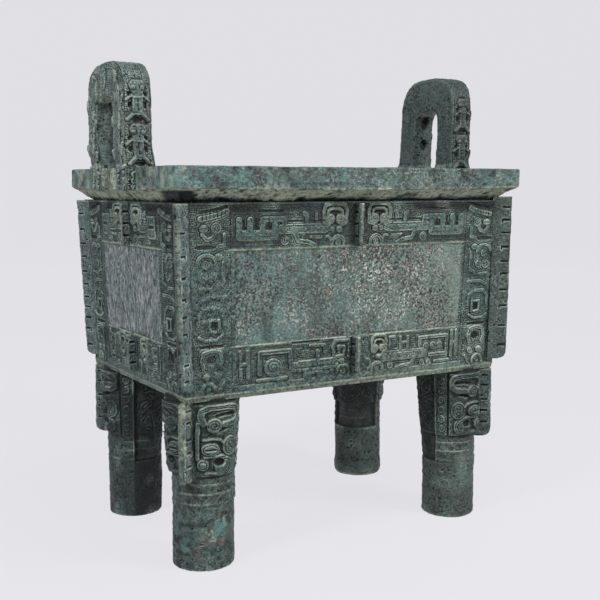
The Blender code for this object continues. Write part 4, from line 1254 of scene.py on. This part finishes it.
def bronze(name):
    """Old bronze: grey green with hollows in painted shade and dirt, rubbed edges with painted highlights,
    pale dust with painted light and many mineral grains.

    The mesh brings what belongs to a place: panel for the even fields, shade for painted shade and darker
    parts, pale for dust and painted light, teal and rust for mineral spots, and edge and cavity for how far a
    point stands over its close and its wider surroundings, in millimetres.
    """
    material = bpy.data.materials.new(name)
    material.use_nodes = True
    tree = material.node_tree
    shader = tree.nodes["Principled BSDF"]
    where = node(tree, "ShaderNodeTexCoord").outputs["Object"]

    def drawn_out(share):
        """Places squeezed in height, so that a texture runs upright."""
        made = node(tree, "ShaderNodeMapping", {"Vector": where, "Scale": (1.0, 1.0, share)})
        return made.outputs["Vector"]

    def cloud(scale, detail=2.0, coarse=0.5, warp=0.0, vector=where):
        made = node(tree, "ShaderNodeTexNoise", {"Vector": vector, "Scale": scale, "Detail": detail,
                                                 "Roughness": coarse, "Distortion": warp})
        return made.outputs["Fac"]

    def value(key):
        return node(tree, "ShaderNodeAttribute", attribute_name=key).outputs["Fac"]

    def span(*values):
        return ramp(tree, *values)

    def times(a, b):
        return maths(tree, "MULTIPLY", a, b)

    def lay(colour, share, paint):
        return mix(tree, share, colour, paint)

    def coat(colour, layers, within=None):
        """Lay paints over a colour, each where its mask passes from low to high, at most so strong."""
        for mask, low, high, most, paint in layers:
            share = span(mask, low, high, 0.0, most)
            colour = lay(colour, share if within is None else times(share, within), paint)
        return colour

    panel, edge, hollow, shade, pale = (value(key) for key in ("panel", "edge", "cavity", "shade", "pale"))
    broad, middle, grain, grit = cloud(5.0, 3), cloud(24.0, 3, 0.6), cloud(125.0, 1), cloud(215.0, 1)
    upright = drawn_out(0.22)
    runs = cloud(34.0, 3, 0.6, 0.0, upright)
    patchy = span(cloud(7.5, 2), 0.4, 0.58, 0.22, 1.0)
    spot = node(tree, "ShaderNodeSeparateXYZ", {0: where}).outputs
    across, up = spot["X"], spot["Z"]
    # the ornamented skin: dark grey green with upright streaks
    skin = mix(tree, span(broad, 0.4, 0.6), (0.031, 0.056, 0.051), (0.053, 0.088, 0.079))
    skin = coat(skin, [(middle, 0.48, 0.62, 0.75, (0.086, 0.126, 0.11)),
                       (cloud(40.0, 3, 0.6), 0.54, 0.64, 0.8, (0.018, 0.027, 0.025)),
                       (cloud(150.0, 2, 0.6, 0.0, drawn_out(0.12)), 0.44, 0.34, 0.6, (0.014, 0.021, 0.02))])
    # the even fields: teal with upright runs, speckled in patches with rust, near black and pale grains
    crowd = times(span(across, -0.22, 0.02), span(across, 0.34, 0.16))
    crowd = times(crowd, span(up, 0.58, 0.7, 0.35, 1.0))
    crowd = times(crowd, span(cloud(9.0, 3), 0.38, 0.52, 0.35, 1.0))
    field = mix(tree, span(runs, 0.36, 0.64), (0.036, 0.062, 0.059), (0.094, 0.143, 0.131))
    # towards the right end the field turns lighter, painted light from the front right
    field = coat(field, [(cloud(62.0, 2, 0.6, 0.3, upright), 0.52, 0.64, 0.7, (0.056, 0.132, 0.122)),
                         (across, -0.05, 0.42, 0.75, (0.138, 0.176, 0.146))])
    rusty = times(patchy, span(across, -0.33, -0.16, 0.4, 1.0))
    field = coat(field, [(cloud(95.0, 2, 0.6, 0.3), 0.49, 0.57, 0.9, (0.084, 0.066, 0.06))], rusty)
    field = coat(field, [(cloud(180.0, 2), 0.48, 0.4, 1.0, (0.012, 0.016, 0.016))], patchy)
    field = coat(field, [(cloud(150.0, 3), 0.48, 0.41, 1.0, (0.024, 0.019, 0.018))], crowd)
    glints = maths(tree, "MAXIMUM", crowd, span(cloud(11.0, 2), 0.46, 0.6, 0.05, 0.45))
    glints = times(glints, span(cloud(22.0, 3, 0.7), 0.4, 0.6, 0.25, 1.0))
    field = coat(field, [(cloud(170.0, 3), 0.53, 0.6, 1.0, (0.46, 0.425, 0.37))], glints)
    # the left end's field: grey lilac, finely streaked
    flecks = cloud(125.0, 3, 0.7, 0.0, drawn_out(0.36))
    lilac = mix(tree, span(flecks, 0.39, 0.6), (0.012, 0.018, 0.02), (0.262, 0.278, 0.284))
    lilac = coat(lilac, [(runs, 0.48, 0.62, 0.75, (0.062, 0.094, 0.086))])
    field = mix(tree, span(across, -0.476, -0.484), field, lilac)
    # mineral spots: turquoise and rust brown; pale and dark grains; painted shade and dirt in the hollows and
    # beside raised edges
    colour = coat(mix(tree, panel, skin, field),
                  [(cloud(52.0, 2, 0.6, 0.3), 0.62, 0.69, 0.7, (0.055, 0.15, 0.132)),
                   (cloud(30.0, 3, 0.7, 0.3), 0.59, 0.7, 0.6, (0.088, 0.064, 0.044))])
    colour = coat(colour, [(grain, 0.56, 0.7, 0.6, (0.15, 0.178, 0.15)),
                           (grain, 0.44, 0.32, 0.85, (0.009, 0.013, 0.012)),
                           (grit, 0.43, 0.32, 0.7, (0.01, 0.014, 0.013))], patchy)
    colour = coat(colour, [(hollow, -0.25, -1.5, 0.85, (0.006, 0.009, 0.008)),
                           (edge, -0.12, -0.7, 0.9, (0.004, 0.006, 0.006))])
    # rust and turquoise where the mesh has them, rubbed edges with painted highlights, dust with painted
    # light, and painted shade with darker patches
    colour = lay(colour, times(value("rust"), span(grain, 0.36, 0.5, 0.2, 0.9)), (0.08, 0.062, 0.058))
    colour = lay(colour, times(value("teal"), span(middle, 0.36, 0.56, 0.25, 0.85)), (0.072, 0.17, 0.158))
    rubbed_and_highlit = times(span(edge, 0.12, 0.5, 0.0, 0.9), span(middle, 0.4, 0.58, 0.12, 1.0))
    colour = lay(colour, rubbed_and_highlit, (0.215, 0.275, 0.24))
    dust_and_light = times(pale, span(cloud(95.0, 2, 0.6), 0.32, 0.54, 0.1, 1.0))
    colour = lay(colour, dust_and_light, (0.3, 0.33, 0.25))
    colour = lay(colour, shade, (0.005, 0.007, 0.007))
    tree.links.new(colour, shader.inputs["Base Color"])
    tree.links.new(span(middle, 0.3, 0.7, 0.5, 0.76), shader.inputs["Roughness"])
    shader.inputs["Metallic"].default_value = 0.2
    shader.inputs["Specular IOR Level"].default_value = 0.3
    height = maths(tree, "ADD", times(grit, 0.45), grain)
    bump = node(tree, "ShaderNodeBump", {"Height": height, "Strength": 1.0, "Distance": 0.003})
    tree.links.new(bump.outputs["Normal"], shader.inputs["Normal"])
    return material


def plain(name, colour, glow):
    """The floor and backdrop: pale board with a faint mottle and an even light of its own."""
    material = bpy.data.materials.new(name)
    material.use_nodes = True
    tree = material.node_tree
    shader = tree.nodes["Principled BSDF"]
    where = node(tree, "ShaderNodeTexCoord").outputs["Object"]
    tint = mix(tree, node(tree, "ShaderNodeTexNoise", {"Vector": where, "Scale": 0.7}).outputs["Fac"],
               colour, tuple(c * 0.985 for c in colour))
    tree.links.new(tint, shader.inputs["Base Color"])
    shader.inputs["Roughness"].default_value = 0.95
    shader.inputs["Specular IOR Level"].default_value = 0.1
    shader.inputs["Emission Color"].default_value = (0.985, 0.975, 1.02, 1.0)
    shader.inputs["Emission Strength"].default_value = glow
    return material


# Camera, light and stage

CAMERA_PLACE = (-1.486, -2.5732, 0.9931)
CAMERA_YAW = 30.52  # degrees from +Y towards +X
CAMERA_DROP = 4.54  # degrees below level
CAMERA_LENS = 59.06
CAMERA_SHIFT = -0.06


def make_camera():
    data = bpy.data.cameras.new("camera")
    data.lens = CAMERA_LENS
    data.sensor_width = 36.0
    data.shift_y = CAMERA_SHIFT
    data.clip_end = 100
    obj = bpy.data.objects.new("camera", data)
    bpy.context.scene.collection.objects.link(obj)
    yaw, drop = radians(CAMERA_YAW), radians(CAMERA_DROP)
    ahead = Vector((sin(yaw) * cos(drop), cos(yaw) * cos(drop), -sin(drop)))
    right = Vector((cos(yaw), -sin(yaw), 0))
    turn = Matrix((right, right.cross(ahead), -ahead)).transposed()
    obj.matrix_world = Matrix.Translation(CAMERA_PLACE) @ turn.to_4x4()
    bpy.context.scene.camera = obj


def area_light(name, place, target, width, height, power, colour):
    data = bpy.data.lights.new(name, "AREA")
    data.shape = "RECTANGLE"
    data.size, data.size_y = width, height
    data.energy = power
    data.color = colour
    obj = bpy.data.objects.new(name, data)
    bpy.context.scene.collection.objects.link(obj)
    obj.location = place
    obj.rotation_euler = (Vector(target) - Vector(place)).to_track_quat("-Z", "Y").to_euler()
    obj.visible_camera = False


def make_stage():
    """A pale floor that bends up into a backdrop all round, lit by large soft lamps."""
    radius, rise, drop, count = 9.0, 3.0, 0.0008, 64
    bend = [pi / 2 * k / 12 for k in range(13)]
    rings = [(0.5, 0.0), (3.0, 0.0)] + [(radius + rise * sin(a), rise * (1 - cos(a))) for a in bend]
    rings.append((radius + rise, 9.0))
    turns = [2 * pi * i / count for i in range(count)]
    points = np.array([[(r * cos(a), r * sin(a), z - drop) for a in turns] for r, z in rings])
    low = np.arange(count)
    faces = [grid_faces(len(rings), count, wrap=True)[:, ::-1],
             np.stack([low, np.roll(low, -1), np.full(count, len(rings) * count)], axis=1)]
    verts = np.concatenate([points.reshape(-1, 3), [[0, 0, -drop]]])
    floor = make_mesh("floor", verts, faces, {})
    floor.data.materials.append(plain("pale_floor", (0.045, 0.045, 0.045), 0.725))
    world = bpy.data.worlds.new("studio")
    world.use_nodes = True
    world.node_tree.nodes["Background"].inputs["Color"].default_value = (0.9, 0.95, 1.0, 1.0)
    world.node_tree.nodes["Background"].inputs["Strength"].default_value = 0.35
    bpy.context.scene.world = world
    bpy.context.scene.view_settings.view_transform = "Standard"
    target = (0, 0, 0.75)
    area_light("key", (1.7, -2.6, 2.7), target, 1.0, 1.0, 118, (0.97, 0.98, 1.0))
    area_light("side", (-4.2, -1.6, 3.9), target, 1.2, 1.2, 215, (0.9, 0.95, 1.0))
    area_light("top", (-0.2, -1.7, 4.8), target, 1.8, 1.8, 120, (0.93, 0.97, 1.0))
    area_light("low", (-0.9, -4.2, 0.25), (0, 0, 1.0), 2.4, 0.4, 30, (1.0, 0.93, 0.8))


def main():
    make_camera()
    make_stage()
    material = bronze("bronze_patina")
    for side in WALL_PITCH:
        make_wall(side, material)
    make_basin(material)
    make_lip(material)
    make_flanges(material)
    for name in CORNERS:
        make_leg(name, material)
    for name in EAR_PITCH:
        make_ear(name, material)


main()
